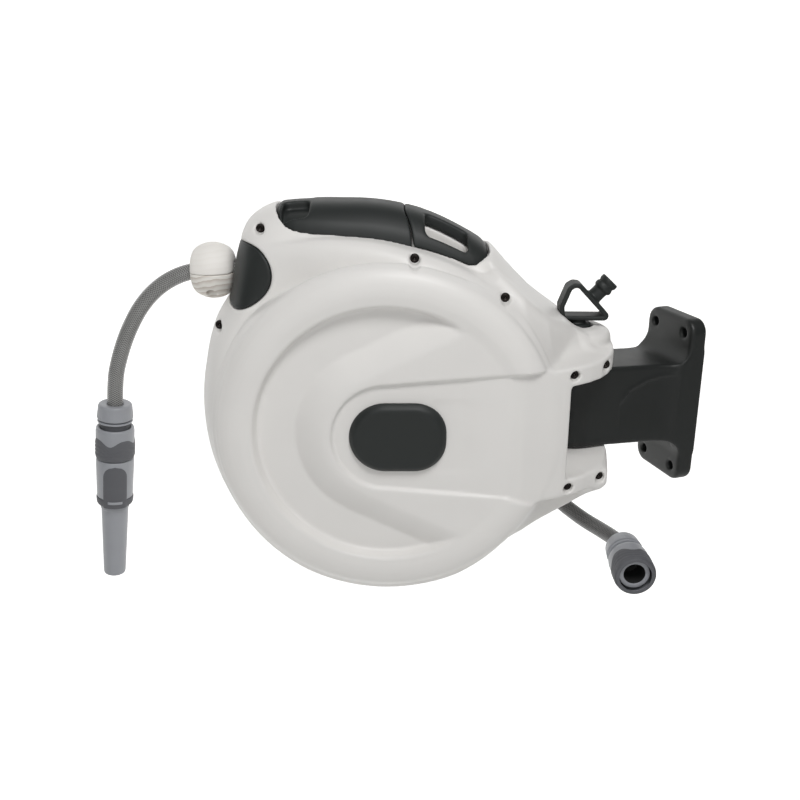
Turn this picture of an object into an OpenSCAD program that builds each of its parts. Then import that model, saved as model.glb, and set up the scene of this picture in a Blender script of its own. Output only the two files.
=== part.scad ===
// Wall mounted hose reel with an automatic rewind drum.
// Origin: centre of the wall plate's back face. +X runs into the wall, +Z is up.
// The reel is drawn in its own frame, named reel: x towards the hinge, y up, z towards the front cover,
// with the drum axis as its z axis and the joint between the two casing halves at z = 0.

/* [Wall bracket] */
// Width of the wall plate
plate_w = 70; // [64:1:90]
// Height of the wall plate
plate_h = 154; // [148:1:180]
// Thickness of the wall plate
plate_t = 16; // [9:0.5:18]
// Corner radius of the wall plate
plate_corner = 13; // [6:0.5:18]
// Spacing of the wall holes from side to side
hole_across = 44; // [38:1:48]
// Spacing of the wall holes up and down
hole_up = 128; // [122:1:130]
// Diameter of the wall holes
hole_d = 8; // [5:0.5:9]
// Diameter of the sunk seat for each screw head
hole_head_d = 10; // [9.5:0.5:16]
// Depth of the sunk seat for each screw head
hole_head_depth = 1; // [0.5:0.5:6]
// From the hinge axis to the front of the wall plate
hinge_reach = 96; // [94:1:120]
// Width of the bracket arm
arm_w = 58; // [46:1:58]
// Top of the arm above the drum axis
arm_top = 30.5; // [26:0.5:30.5]
// Bottom of the knuckle below the drum axis
knuckle_drop = 44.5; // [40:0.5:44.5]
// Bottom of the arm below the drum axis
arm_drop = 34.5; // [30:0.5:38]
// Drum axis above the middle of the wall plate
drum_rise = 7; // [0:1:14]
// Angle that the reel is turned on the bracket
swivel_angle = 18.75; // [-40:0.25:40]
// Angle that the hinge slot lets the reel turn to each side
swivel_limit = 75; // [50:1:76]

/* [Hinge] */
// Distance from the drum axis to the hinge axis
hinge_x = 165; // [163:1:175]
// Diameter of the hinge pin
pin_d = 16; // [12:0.5:18]
// Outside diameter of the hinge bushes
bush_d = 21; // [20:0.5:24]
// Flange thickness of the hinge bushes
bush_flange_t = 1.2; // [1:0.1:1.2]
// Flange diameter of the hinge bushes
bush_flange_d = 34; // [28:1:40]
// Length of each hinge bush in the knuckle
bush_l = 16; // [10:1:24]
// Top of the hinge slot above the drum axis
slot_top = 32; // [32:0.5:34]
// Bottom of the hinge slot below the drum axis
slot_drop = 46; // [46:0.5:48]
// Top of the upper hinge lobe above the drum axis
lobe_top = 49; // [47:1:52]
// Bottom of the lower hinge lobe below the drum axis
lobe_drop = 61; // [56:1:68]
// Radius of the round rear end, seen from above
lobe_r = 76; // [72:1:79]
// Distance from the drum axis to the centre of the round rear end
lobe_x = 120; // [116:1:125]
// Top of the hinge boss above the drum axis
boss_top = 65; // [62:1:68]
// Rim of the hinge boss above the drum axis
boss_edge = 54; // [52:1:56]
// Diameter of the flat on top of the hinge boss
boss_flat_d = 30; // [28:1:34]
// Diameter of the hinge boss
boss_d = 63; // [58:1:66]
// Front edge of the hinge slot from the drum axis
slot_edge_x = 150; // [146:1:154]

/* [Pin handle] */
// Width of the pull loop
loop_w = 46; // [40:1:50]
// Height of the pull loop
loop_h = 25; // [22:1:34]
// Width of the pull loop's band
loop_band = 5; // [4:0.5:7]
// Thickness of the pull loop
loop_t = 18; // [12:0.5:22]
// Diameter of the parking spigot
spigot_d = 12; // [9:0.5:13]
// Length of the parking spigot
spigot_l = 21; // [16:1:26]
// Diameter of the pin's collar
collar_d = 26; // [22:1:32]
// Height of the pin's collar
collar_h = 5; // [4:0.5:9]

/* [Casing] */
// Radius of the round casing at the joint between the halves
casing_r = 161; // [158:1:166]
// Half width of the casing at its side walls
side_half_w = 86; // [85:0.5:92]
// Half width of the casing at the ridge round its side
ridge_half_w = 79; // [76:0.5:83]
// Half width of the humped top
saddle_half_w = 48; // [44:1:54]
// Radius of the raised disc on each side
disc_r = 139; // [136:1:141]
// Height of the disc's rim above the side wall
rim_rise = 15; // [10:0.5:20]
// Radius of the recess inside the rim
recess_r = 108; // [102:1:114]
// Depth of the recess below the rim
recess_depth = 10; // [6:0.5:12]
// Radius of the raised fan round the hub
fan_r = 70; // [60:1:78]
// Height of the fan above the recess floor
fan_rise = 6; // [3:0.5:8]
// Half angle of the fan's spread
fan_angle = 26; // [20:1:32]
// Radius of the arm pad round the hub
pad_r = 44; // [40:1:50]
// Height of the arm pad above the fan
pad_rise = 2.5; // [1:0.25:5]
// Wall thickness of the casing
wall = 3; // [2:0.25:4]
// Length of the hub cap
cap_l = 79; // [74:1:90]
// Height of the hub cap
cap_h = 59; // [54:1:68]
// Height of the hub cap above the pad
cap_rise = 3; // [2:0.25:6]
// Depth of the seat for the hub cap
cap_seat = 4; // [2:0.5:6]
// Diameter of the sunk screw seats
screw_seat_d = 10; // [8:0.5:12]
// Diameter of the casing screw shanks
screw_d = 4; // [3:0.25:5]

/* [Carry handle] */
// Left end of the grip from the drum axis
grip_left = 91; // [86:1:95]
// Right end of the grip from the drum axis
grip_right = 84; // [78:1:88]
// Place of the seam between the grip cover and the handle
grip_seam_x = 18; // [10:1:24]
// Length of each finger window
window_l = 37; // [30:1:42]
// Width of each finger window
window_w = 31; // [24:1:33]
// Half width of the bar between the finger windows
bar_half_w = 9; // [7:0.5:12]

/* [Outlet] */
// Height of the outlet above the drum axis
outlet_up = 116; // [114:1:119]
// Radius of the outlet bezel, seen from the side
bezel_r = 29; // [27:1:33]
// Face of the outlet bezel from the drum axis
bezel_x = 129; // [127:0.5:130]
// Diameter of the guide rollers
roller_d = 11; // [9:0.5:12]

/* [Drum] */
// Radius of the drum's flanges
flange_r = 130; // [126:1:130]
// Thickness of the drum's flanges
flange_t = 3; // [2:0.25:4]
// Width between the drum's flanges
drum_w = 100; // [96:1:104]
// Radius of the drum's core
core_r = 60; // [56:1:66]
// Wall of the drum's core
core_wall = 3.5; // [2.5:0.25:4]
// Diameter of the axle
axle_d = 20; // [16:0.5:24]
// Diameter of the water way in the axle
water_d = 9; // [7:0.5:11]
// Wall of the drum bushes
drum_bush_wall = 4; // [3:0.25:6]
// Number of ratchet teeth
ratchet_teeth = 24; // [16:1:30]
// Outside radius of the ratchet
ratchet_r = 84; // [78:1:90]
// Depth of the ratchet teeth
tooth_depth = 6; // [4:0.5:8]
// Thickness of the ratchet ring
ratchet_t = 9; // [7:0.5:10]

/* [Power spring] */
// Width of the spring strip
spring_w = 54; // [40:1:56]
// Thickness of the spring strip
spring_t = 1; // [0.8:0.1:1.2]
// Number of turns in the spring
spring_turns = 9; // [6:1:10]

/* [Hose] */
// Outside diameter of the hose
hose_d = 14; // [12:0.5:15]
// Inset of the outer layer's centre line from the flange's edge
coil_inset = 14; // [12:1:18]

/* [Stopper ball] */
// Diameter of the stopper ball
ball_d = 48; // [40:1:50]
// Length of the stopper ball along the hose
ball_l = 37; // [30:1:38]

/* [Hose connector] */
// Diameter of the hose nut
nut_d = 32; // [28:0.5:35]
// Height of the hose nut
nut_h = 17.5; // [16:0.5:22]
// Diameter of the connector's neck
neck_d = 26; // [22:0.5:27]
// Gap that the release sleeve travels
sleeve_travel = 3.5; // [2.5:0.25:5]
// Diameter of the release sleeve
sleeve_d = 35; // [34:0.5:40]
// Length of the release sleeve
sleeve_l = 27.5; // [26:0.5:36]
// Bore of the connector
socket_d = 18; // [15:0.5:19]

/* [Nozzle] */
// Diameter of the nozzle's body
nozzle_d = 34; // [32:0.5:36]
// Length of the nozzle's body
nozzle_l = 46.5; // [42:0.5:52]
// Diameter of the twist tip where it leaves the body
tip_d = 25.5; // [20:0.5:26]
// Diameter of the twist tip at its end
tip_end_d = 20; // [15:0.5:22]
// Length of the twist tip below the body
tip_l = 74; // [56:1:80]
// Lean of the hanging connector away from the reel
drop_lean = 6; // [5:0.5:7]

/* [Hidden] */
$fn = 96;

// Overrun of every cut past the solid
over = 1;
// Gap between pieces that move past each other
run_gap = 0.4;
// Radial clearance of a shaft in its bore
fit_gap = 0.05;
// Gap between a soft piece and what holds it
seat_gap = 0.3;

// Colours of the photographed object
shell_colour = "#dedcd9";
dark_colour = "#31343a";
hose_colour = "#828282";
nut_colour = "#98999e";
grip_colour = "#595a5d";
steel_colour = "#a9adb0";
drum_colour = "#4a4d50";
ball_colour = "#e4e1db";

// Casing outline round the drum axis: angle from the hinge side, share of casing_r
crest_shares = [
    [-180, 1], [30, 1], [42, 0.995], [49, 0.995], [59, 1.022], [65, 1.012], [71, 1.01], [79, 1.03],
    [86, 1.058], [95, 1.098], [102, 1.126], [109, 1.163], [119, 1.229], [124, 1.24], [126, 1.236],
    [129, 1.2], [131, 1.172], [134, 1.138], [138, 1.085], [143, 1.03], [147, 1.034], [150, 1.038],
    [154, 1.032], [164, 1.009], [180, 1]
];
// Level of the shelf beside the humped top, and of the casing outside it
shelf_shares = [
    [-180, 0.888], [70, 0.888], [81, 0.899], [89, 0.92], [101, 0.96], [113, 1.02], [121, 1.06],
    [126, 1.05], [131, 1.02], [137, 0.96], [143, 0.92], [157, 0.895], [180, 0.888]
];
base_share = 0.888;
side_r = base_share * casing_r - (side_half_w - ridge_half_w) / 2;
// Half width of the casing by angle, as a share of ridge_half_w: the nose is narrower
width_shares = [
    [-180, 1], [95, 1], [101, 0.95], [113, 0.85], [121, 0.77], [128, 0.73], [135, 0.73], [145, 0.8],
    [160, 1], [180, 1]
];
// How far the humped top replaces the plain flank, by angle
hump_shares = [[-180, 0], [38, 0], [56, 1], [118, 1], [129, 0], [180, 0]];
// Widths at which the casing's skin has a ring, as shares of ridge_half_w
ring_shares = [0, 0.2, 0.36, 0.48, 0.56, 0.605, 0.68, 0.76, 0.84, 0.92, 1];
skin_steps = 90;
flank_power = 2.2;
hump_power = 2.6;
hump_round = 0.7;
shelf_power = 6;
// Outline of the rim on the disc, as shares of the rim's breadth and of its rise
rim_breadth = disc_r - recess_r;
rim_shares = [[0, 0], [0.02, 0.25], [0.12, 0.55], [0.32, 0.82], [0.62, 0.97], [0.88, 1], [1, 0.97]];
recess_slope = 9;

// Levels from the joint between the halves outwards
rim_z = side_half_w + rim_rise;
recess_z = rim_z - recess_depth;
fan_z = recess_z + fan_rise;
pad_z = fan_z + pad_rise;
cap_z = pad_z + cap_rise;
space_z = recess_z - wall;
disc_base_z = side_half_w - 2 * wall;
fan_reach = recess_r + wall;
// The arm pad falls back towards the round rear end
pad_flat_x = 100;
pad_half_end = 52.5;
lobe_z = 12;
lobe_end_x = lobe_x + lobe_r;
keel_half_w = 56;
keel_x = 118;
keel_drop = 106;
keel_end_x = 190;
// Shoulder between the casing's crest and the hinge boss: x and height as shares of casing_r
shoulder_shares = [[0.55, 0.84], [0.74, 0.665], [0.8, 0.595], [0.89, 0.548], [0.9, 0.47]];
shoulder_foot_share = 0.93;
shoulder_width_shares = [[0.5, 1], [0.62, 1], [0.8, 0.72]];
shoulder_end_share = 0.92;

// Room for the drum, as shares of casing_r and of side_half_w
space_shares = [[0.945, 0], [0.93, 0.4], [0.865, 0.62], [0.85, 0.92], [0.78, 0.985]];
drum_clear_r = casing_r * space_shares[0][0];
boss_screw_d = screw_d + 2 * wall;
axle_socket_r = axle_d / 2 + wall;
axle_socket_depth = 12;
axle_end = space_z - fit_gap;
feed_hole_d = hose_d + 2 * wall;

// Places of the casing screws: x and height as shares of casing_r
screw_shares = [[-0.638, 0.972], [-0.871, 0.477], [0.139, 0.86], [0.585, 0.674]];
screw_floors = [29, 33, 76, 64];
lobe_screw_x = [152, 183];
lobe_screw_floors = [68, 42];
lobe_screw_up = [(lobe_top + slot_top) / 2, -(lobe_drop + slot_drop) / 2];
screw_l = 22;
screw_head_h = 3;
screw_head_d = 8;

// Hub cap
cap_corner_share = 0.44;
cap_corner = cap_h * cap_corner_share;
cap_shift = 9;
cap_bevel = 2;

// Grip outline under the humped top, as shares of the grip's length and of casing_r
grip_shares = [
    [0, 1.04], [0.045, 0.985], [0.13, 0.957], [0.64, 0.925], [0.86, 0.858], [0.93, 0.838], [0.97, 0.85],
    [1, 0.89]
];
grip_over_share = 1.3;
grip_inner_share = 0.8;
// Wall of the casing under the grip, and the tray that makes room for the fingers
grip_under_r = drum_clear_r + wall;
drum_gap = 1.5;
tray_r = flange_r + 4;
tray_up = 90;
grip_half_w = saddle_half_w - seat_gap;
grip_angles = [50, 128];
grip_steps = 24;
window_x = 31;
notch_x = -85;
notch_l = 23;
notch_w = 30;
notch_floor_up = 163;

// Outlet
bezel_back = 8;
ball_gap = 1.5;
ball_x = bezel_x + ball_gap + ball_l / 2;
ball_mouth_d = hose_d + 6;
ball_screw_x = 15;
ball_screw_floor = 10;
ball_screw_l = 20;
nose_angles = [112, 160];
nose_steps = 18;
nose_inner_share = 0.7;
throat_d = hose_d + 2 * seat_gap;
passage_d = hose_d + 2 * wall;
passage_x = 55;
roller_gap = (hose_d + roller_d) / 2 + run_gap;
frame_inner = roller_gap + roller_d / 2 + run_gap;
frame_t = 3;
frame_half = frame_inner + frame_t;
roller_l = 2 * (frame_inner - run_gap);
roller_pin_d = 3;
roller_first_x = -112;
roller_second_x = roller_first_x + roller_d + 2 * run_gap;
frame_end = roller_d / 2 + frame_t;
nose_front_x = roller_first_x - frame_end;
nose_back_x = roller_second_x + frame_end + wall;

// Drum
drum_half = drum_w / 2;
bush_r = axle_d / 2 + drum_bush_wall;
hub_r = bush_r + core_wall;
web_t = 4;
web_z = -20;
drum_bush_l = 14;
case_r = core_r - core_wall - seat_gap;
case_wall = 2.5;
case_floor = web_z + web_t / 2;
case_inner_r = case_r - case_wall;
spring_z = case_floor + case_wall + seat_gap;
cover_t = 4;
arbor_r = axle_d / 2 + drum_bush_wall;
spring_pitch = (case_inner_r - arbor_r - spring_t - seat_gap) / spring_turns;
spring_steps = 24;
flange_ribs = 8;
flange_rib_w = 4;
flange_rib_h = 2;
ratchet_in_r = ratchet_r - tooth_depth - 5;
ratchet_z = drum_half + flange_t;
coil_r = flange_r - coil_inset;
coil_out_r = coil_r + hose_d / 2;
seal_t = 3;
seal_z = [-35.5, -22];
water_out_z = (seal_z[0] + seal_z[1] + seal_t) / 2;
elbow_z = -66;
elbow_d = 38;
elbow_h = 18;
elbow_spigot_d = 18;
gland_in = 4;
gland_l = 16;
gland_gap = 1;

// Pawl
pawl_x = 66;
pawl_up = 76;
pawl_post_d = 6;
pawl_eye_d = 14;
pawl_w = 6;
pawl_nose = [-24, 2];
pawl_tail = [14, -12];
pawl_t = ratchet_t - flange_rib_h - 2 * run_gap;
pawl_z = ratchet_z + flange_rib_h + run_gap;
pawl_spring_wire = 1.4;
pawl_spring_turns = 4;

// Pin handle
pin_end = lobe_drop - wall;
pin_lead = 2;
neck_pin_d = 15;
loop_lift = 5;
loop_base_up = boss_top + collar_h + loop_lift;
loop_left = 14;
loop_apex = 11;
spigot_groove_d = spigot_d - 2;
spigot_groove_w = 2.5;

// Bracket
bracket_rib_t = 4;
flare_l = 26;
flare_side = 3;
gusset_up = 16;
gusset_w = 40;
panel_depth = 1.5;
panel_shares = [[0.42, 0.18], [0.42, 0.62], [0.6, 0.75], [0.86, 0.82], [0.96, 0.82], [0.96, 0.18]];

// Connectors
nut_flute = 1.2;
nut_flutes = 18;
flange_ring_h = 4;
flange_ring_d = 30;
sleeve_start = nut_h + flange_ring_h + sleeve_travel;
sleeve_end = sleeve_start + sleeve_l;
sleeve_wall_gap = neck_d + 2 * run_gap;
waist = 1.5;
waist_share = 0.3;
seal_depth = 4;
spigot_in_l = 24;
seal_groove = 1;
socket_z = sleeve_end - seal_depth - spigot_in_l;
nozzle_start = sleeve_end + run_gap;
nozzle_end = nozzle_start + nozzle_l;
base_ring_h = 8;
tip_hold_l = 14;
tip_bore_d = 11;
inlay_t = 1.5;
inlay_w = 24;
inlay_l = 38;
inlay_depth = 3.5;

// Hose routes in the reel's frame
connector_x = -246;
nut_top = -5.5;
inlet_x = 206;
inlet_up = -117;
inlet_start = 62;
drop = [-sin(drop_lean), -cos(drop_lean), 0];
outlet_route = [
    [-86, 116, 0], [-104, 116, 0], [-122, 116, 0], [-138, 116, 0], [-150, 116, 0], [-162, 115.5, 0],
    [-174, 113, 0], [-186, 108, 0], [-197, 101, 0], [-207, 92, 0], [-216, 81, 0], [-224, 68, 0],
    [-231, 54, 0], [-237, 39, 0], [-242, 23, 0], [-244.7, 7, 0],
    [connector_x, nut_top, 0], [connector_x, nut_top, 0] + nut_h * drop
];
inlet_route = [
    [128, -81, -50], [138, -92, -40], [149, -101, -27], [161, -108, -13], [172.5, -113, 1.5],
    [183, -116, 15.5], [193, -117.5, 29], [202, -117.5, 46],
    [inlet_x, inlet_up, inlet_start], [inlet_x, inlet_up, inlet_start + nut_h]
];
feed_route = [
    [22, -13, -66], [36, -21, -66], [50, -29, -66], [64, -37, -66], [78, -45, -66], [91, -52.5, -66],
    [103, -60, -65], [112, -66, -62.5], [120.5, -72.75, -57.5], [128, -81, -50]
];
hose_sides = 10;

// Places an object drawn in the reel's frame
module reel() {
    translate([-(plate_t + hinge_reach), 0, drum_rise])
        rotate([0, 0, -swivel_angle])
            translate([-hinge_x, 0, 0])
                rotate([90, 0, 0])
                    children();
}

// The other side of the joint between the halves
module other_side() {
    mirror([0, 0, 1]) children();
}

// The bracket's end of the hinge, with z up and its height counted from the drum axis
module bracket_hinge() {
    translate([-(plate_t + hinge_reach), 0, drum_rise]) children();
}

// The hinge axis in the reel's frame, with z up
module on_hinge() {
    translate([hinge_x, 0, 0]) rotate([-90, 0, 0]) children();
}

// The outlet's line in the reel's frame, with z away from the reel
module on_outlet(x) {
    translate([x, outlet_up, 0]) rotate([0, -90, 0]) children();
}

// The hanging connector's axis, with z downwards from the top of its nut
module on_drop() {
    translate([connector_x, nut_top, 0]) rotate([90, 0, -drop_lean]) children();
}

// The supply connector's axis, with z towards the front
module on_inlet() {
    translate([inlet_x, inlet_up, inlet_start]) children();
}

// Draws a flat outline, seen from above as x and z, upwards from a height
module from_above(low, high) {
    translate([0, low, 0])
        rotate([-90, 0, 0])
            mirror([0, 1, 0])
                linear_extrude(high - low) children();
}

module pipe(outer_d, inner_d, h) {
    difference() {
        cylinder(d = outer_d, h = h);
        translate([0, 0, -over]) cylinder(d = inner_d, h = h + 2 * over);
    }
}

// A flat bar between two points, with round ends a little wider than its sides
module bar(from, to, width) {
    side = width - 4 * fit_gap;
    translate(from) circle(d = width);
    translate(to) circle(d = width);
    translate(from)
        rotate(atan2(to[1] - from[1], to[0] - from[0]))
            translate([0, -side / 2]) square([norm(to - from), side]);
}

module rounded_plate(w, h, r) {
    square([w - 2 * r, h], center = true);
    square([w, h - 2 * r], center = true);
    for (x = [-1, 1])
        for (y = [-1, 1])
            translate([x * (w / 2 - r), y * (h / 2 - r)]) circle(r = r);
}

// Triangles between rings of points that have the same count
function skin_sides(rings) =
    let (count = len(rings[0]))
        [for (i = [0 : len(rings) - 2])
            for (j = [0 : count - 1])
                let (a = i * count + j, b = i * count + (j + 1) % count)
                    each [[b + count, b, a], [a + count, b + count, a]]];
function all_points(rings) = [for (ring = rings) each ring];

// Skin over rings, closed at each end by triangles round a middle point
function middle(ring, i = 0) = i == len(ring) ? [0, 0, 0] : ring[i] / len(ring) + middle(ring, i + 1);
module skin(rings) {
    count = len(rings[0]);
    first = (len(rings) - 1) * count;
    hub = len(rings) * count;
    low_end = [for (j = [0 : count - 1]) [j, (j + 1) % count, hub]];
    high_end = [for (f = low_end) [first + f[1], first + f[0], hub + 1]];
    points = concat(all_points(rings), [middle(rings[0]), middle(rings[len(rings) - 1])]);
    polyhedron(points = points, faces = concat(skin_sides(rings), low_end, high_end), convexity = 8);
}

// Skin over rings that run out along a surface and back under it, with a strip of faces at each end
module folded_skin(rings) {
    count = len(rings[0]);
    first = (len(rings) - 1) * count;
    low_end = [
        for (j = [0 : count / 2 - 2])
            [j, j + 1, count - 2 - j, count - 1 - j]
    ];
    high_end = [for (f = low_end) [for (k = [3 : -1 : 0]) first + f[k]]];
    ends = concat(low_end, high_end);
    polyhedron(points = all_points(rings), faces = concat(skin_sides(rings), ends), convexity = 8);
}

// Tube along a route, with one ring of points at each point of the route
function unit(v) = v / norm(v);
function heading(route, i) = unit(route[min(i + 1, len(route) - 1)] - route[max(i - 1, 0)]);
function carried(v, along) = unit(v - along * (v * along));
function frames(route, side, i = 0) =
    i == len(route) ? [] :
    let (along = heading(route, i), across = carried(side, along))
        concat([[across, cross(along, across)]], frames(route, across, i + 1));
function tube_rings(route, d, side) =
    let (f = frames(route, side))
        [for (i = [0 : len(route) - 1])
            [for (k = [0 : hose_sides - 1])
                let (a = 360 * k / hose_sides)
                    route[i] + (f[i][0] * cos(a) + f[i][1] * sin(a)) * d / 2]];
module tube(route, d, side) {
    skin(tube_rings(route, d, side));
}

// Radius of the casing's skin at an angle and a distance from the joint between the halves
function skin_r(a, z) =
    let (
        t = min(1, z / (ridge_half_w * lookup(a, width_shares))),
        h = min(1, z / saddle_half_w),
        hump = lookup(a, hump_shares),
        shelf = lookup(a, shelf_shares),
        level = base_share + (shelf - base_share) * sqrt(1 - pow(t, shelf_power)),
        flank_part = 1 - pow(t, flank_power),
        hump_part = pow(1 - pow(h, hump_power), hump_round)
    )
        casing_r * (level + (lookup(a, crest_shares) - shelf) * (flank_part * (1 - hump) + hump_part * hump));
function skin_point(a, r, z) = [r * cos(a), r * sin(a), z];
function skin_ring(z) = [
    for (k = [0 : skin_steps - 1])
        let (a = 360 * k / skin_steps - 180)
            skin_point(a, skin_r(a, z), z)
];
function side_ring() = [
    for (k = [0 : skin_steps - 1])
        skin_point(360 * k / skin_steps - 180, side_r, side_half_w)
];
module half_skin() {
    skin(concat([for (s = ring_shares) skin_ring(s * ridge_half_w)], [side_ring()]));
}

// A stretch of the skin between two angles, across both halves, down to an inner radius
function skin_section(a, levels, inner_r) = concat(
    [for (z = levels) skin_point(a, skin_r(a, abs(z)), z)],
    [for (i = [len(levels) - 1 : -1 : 0]) skin_point(a, inner_r, levels[i])]
);
function both_ways(list) = concat([for (i = [len(list) - 1 : -1 : 1]) -list[i]], list);
module skin_patch(angles, steps, levels, inner_r) {
    folded_skin([
        for (i = [0 : steps])
            skin_section(angles[1] - (angles[1] - angles[0]) * i / steps, levels, inner_r)
    ]);
}

// Raised disc with its rounded rim and the recess inside it
module disc() {
    rotate_extrude()
        polygon(concat(
            [[0, disc_base_z], [disc_r - wall, disc_base_z], [disc_r - wall, side_half_w]],
            [for (s = rim_shares) [disc_r - s[0] * rim_breadth, side_half_w + s[1] * rim_rise]],
            [[recess_r - recess_slope, recess_z], [0, recess_z]]
        ));
}

// Fan that fills the hinge side of the recess
module fan() {
    start = [-fan_r * sin(fan_angle), fan_r * cos(fan_angle)];
    end = [fan_reach, fan_r / cos(fan_angle) + fan_reach * tan(fan_angle)];
    translate([0, 0, disc_base_z])
        linear_extrude(fan_z - disc_base_z)
            intersection() {
                circle(r = fan_reach);
                union() {
                    circle(r = fan_r);
                    polygon([start, end, [end[0], -end[1]], [start[0], -start[1]]]);
                }
            }
}

// Arm pad and hinge lobes: the side outline cut to the outline seen from above
module rear_side() {
    circle(r = pad_r);
    polygon([
        [0, pad_r], [pad_flat_x, pad_half_end], [lobe_x, lobe_top], [lobe_end_x, lobe_top],
        [lobe_end_x, -lobe_drop], [lobe_x, -lobe_drop], [pad_flat_x, -pad_half_end], [0, -pad_r]
    ]);
}
module rear_plan() {
    intersection() {
        translate([lobe_x, lobe_z]) circle(r = lobe_r);
        square([lobe_end_x, lobe_z + lobe_r]);
    }
    polygon([
        [-pad_r, 0], [-pad_r, pad_z], [pad_flat_x, pad_z], [lobe_x, lobe_z + lobe_r - seat_gap],
        [lobe_x, 0]
    ]);
}
module rear_block() {
    intersection() {
        linear_extrude(pad_z + over) rear_side();
        from_above(-lobe_drop - over, lobe_top + over) rear_plan();
    }
}

// Keel under the lower lobe, where the supply hose leaves
module keel() {
    linear_extrude(keel_half_w)
        polygon([
            [keel_x - wall, -keel_drop], [keel_x, -keel_drop], [keel_end_x, -lobe_drop],
            [keel_end_x, -slot_drop - wall], [keel_x - wall, -slot_drop - wall]
        ]);
}

// Shoulder that falls from the casing's crest to the hinge boss
module shoulder() {
    low = slot_top + wall;
    top = boss_edge - wall;
    half = boss_d / 2 - wall;
    first = shoulder_shares[0];
    intersection() {
        linear_extrude(side_half_w)
            polygon(concat(
                [for (s = shoulder_shares) s * casing_r],
                [[shoulder_foot_share * casing_r, top], [hinge_x, top], [hinge_x, low]],
                [[first[0] * casing_r, low]]
            ));
        from_above(low - over, casing_r)
            polygon(concat(
                [[shoulder_width_shares[0][0] * casing_r, 0]],
                [for (s = shoulder_width_shares) [s[0] * casing_r, s[1] * ridge_half_w]],
                [[shoulder_end_share * casing_r, half], [hinge_x, half], [hinge_x, 0]]
            ));
    }
    intersection() {
        on_hinge()
            rotate_extrude()
                polygon([
                    [0, low], [boss_d / 2, low], [boss_d / 2, boss_edge],
                    [boss_flat_d / 2, boss_top], [0, boss_top]
                ]);
        translate([hinge_x - boss_d, 0, 0]) cube([2 * boss_d, 2 * boss_d, boss_d]);
    }
}

// Inner wall under the grip, and the room for the fingers above it
module inner_wall() {
    difference() {
        translate([-grip_left, tray_up, -side_half_w])
            cube([grip_left + grip_right, casing_r, 2 * side_half_w]);
        cylinder(r = tray_r, h = 3 * side_half_w, center = true);
    }
}
// Inner wall in front of the hinge slot
module rear_wall() {
    difference() {
        translate([slot_edge_x / 2, -slot_drop - wall, -side_half_w])
            cube([slot_edge_x, slot_drop + slot_top + 2 * wall, 2 * side_half_w]);
        cylinder(r = flange_r + drum_gap, h = 3 * side_half_w, center = true);
    }
}
module finger_room() {
    half = bar_half_w + window_w;
    difference() {
        translate([window_x, 0, -half]) cube([window_l, casing_r, 2 * half]);
        cylinder(r = tray_r + wall, h = 3 * half, center = true);
    }
}

// Room for the drum, round the axle's socket, the screw bosses and the finger tray
module drum_space() {
    difference() {
        translate([0, 0, -over])
            rotate_extrude()
                polygon(concat(
                    [[0, 0], [casing_r * space_shares[0][0], 0]],
                    [for (s = space_shares) [casing_r * s[0], over + side_half_w * s[1]]],
                    [[recess_r - recess_slope, over + space_z], [0, over + space_z]]
                ));
        translate([0, 0, space_z - axle_socket_depth])
            cylinder(r = axle_socket_r, h = axle_socket_depth + over);
        for (place = screw_shares)
            translate([place[0] * casing_r, place[1] * casing_r, -2 * over])
                cylinder(d = boss_screw_d, h = side_half_w);
        inner_wall();
        rear_wall();
    }
    translate([0, 0, space_z - axle_socket_depth - over])
        cylinder(d = axle_d + 2 * fit_gap, h = axle_socket_depth + over);
}

// Room behind the outlet for the guide rollers
module nose_space() {
    translate([nose_front_x, outlet_up - frame_half, -frame_half - seat_gap])
        cube([nose_back_x - nose_front_x, 2 * frame_half + seat_gap, 2 * (frame_half + seat_gap)]);
    on_outlet(-passage_x) cylinder(d = passage_d, h = bezel_x - passage_x);
}

// Slot between the hinge lobes, open to the rear
module hinge_slot() {
    half = arm_w / 2 + 2 * run_gap;
    from_above(-slot_drop, slot_top) {
        translate([hinge_x, 0]) circle(r = half);
        translate([hinge_x, 0])
            rotate(swivel_limit)
                translate([0, -half + run_gap]) square([2 * lobe_r, 2 * (half - run_gap)]);
        translate([slot_edge_x, -over]) square([lobe_end_x - slot_edge_x + over, lobe_r + side_half_w]);
    }
}

module hinge_bore() {
    on_hinge()
        translate([0, 0, -keel_drop])
            cylinder(d = pin_d + 2 * fit_gap, h = keel_drop + boss_top + over);
}

// Outline of the hub cap: round at the outlet end, squarer at the hinge end
module cap_outline(grow) {
    left = cap_h / 2 - cap_l / 2;
    translate([left, 0]) circle(d = cap_h + 2 * grow);
    translate([left, -cap_h / 2 - grow]) square([cap_l - cap_h / 2 - cap_corner, cap_h + 2 * grow]);
    translate([cap_l / 2 - 2 * cap_corner, cap_corner - cap_h / 2])
        square([2 * cap_corner + grow, cap_h - 2 * cap_corner]);
    for (y = [-1, 1])
        translate([cap_l / 2 - cap_corner, y * (cap_h / 2 - cap_corner)]) circle(r = cap_corner + grow);
}
module cap_seat_cut() {
    translate([cap_shift, 0, pad_z - cap_seat])
        linear_extrude(cap_seat + 2 * over) cap_outline(fit_gap);
}

// Places of the screws that hold the halves together
module at_screws() {
    for (i = [0 : len(screw_shares) - 1])
        translate([screw_shares[i][0] * casing_r, screw_shares[i][1] * casing_r, screw_floors[i]]) children();
    for (i = [0 : len(lobe_screw_x) - 1])
        for (up = lobe_screw_up)
            translate([lobe_screw_x[i], up, lobe_screw_floors[i]]) children();
}
module screw_cuts() {
    at_screws() {
        cylinder(d = screw_seat_d, h = side_half_w);
        translate([0, 0, -screw_l]) cylinder(d = screw_d + 2 * fit_gap, h = screw_l + over);
    }
}

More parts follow.
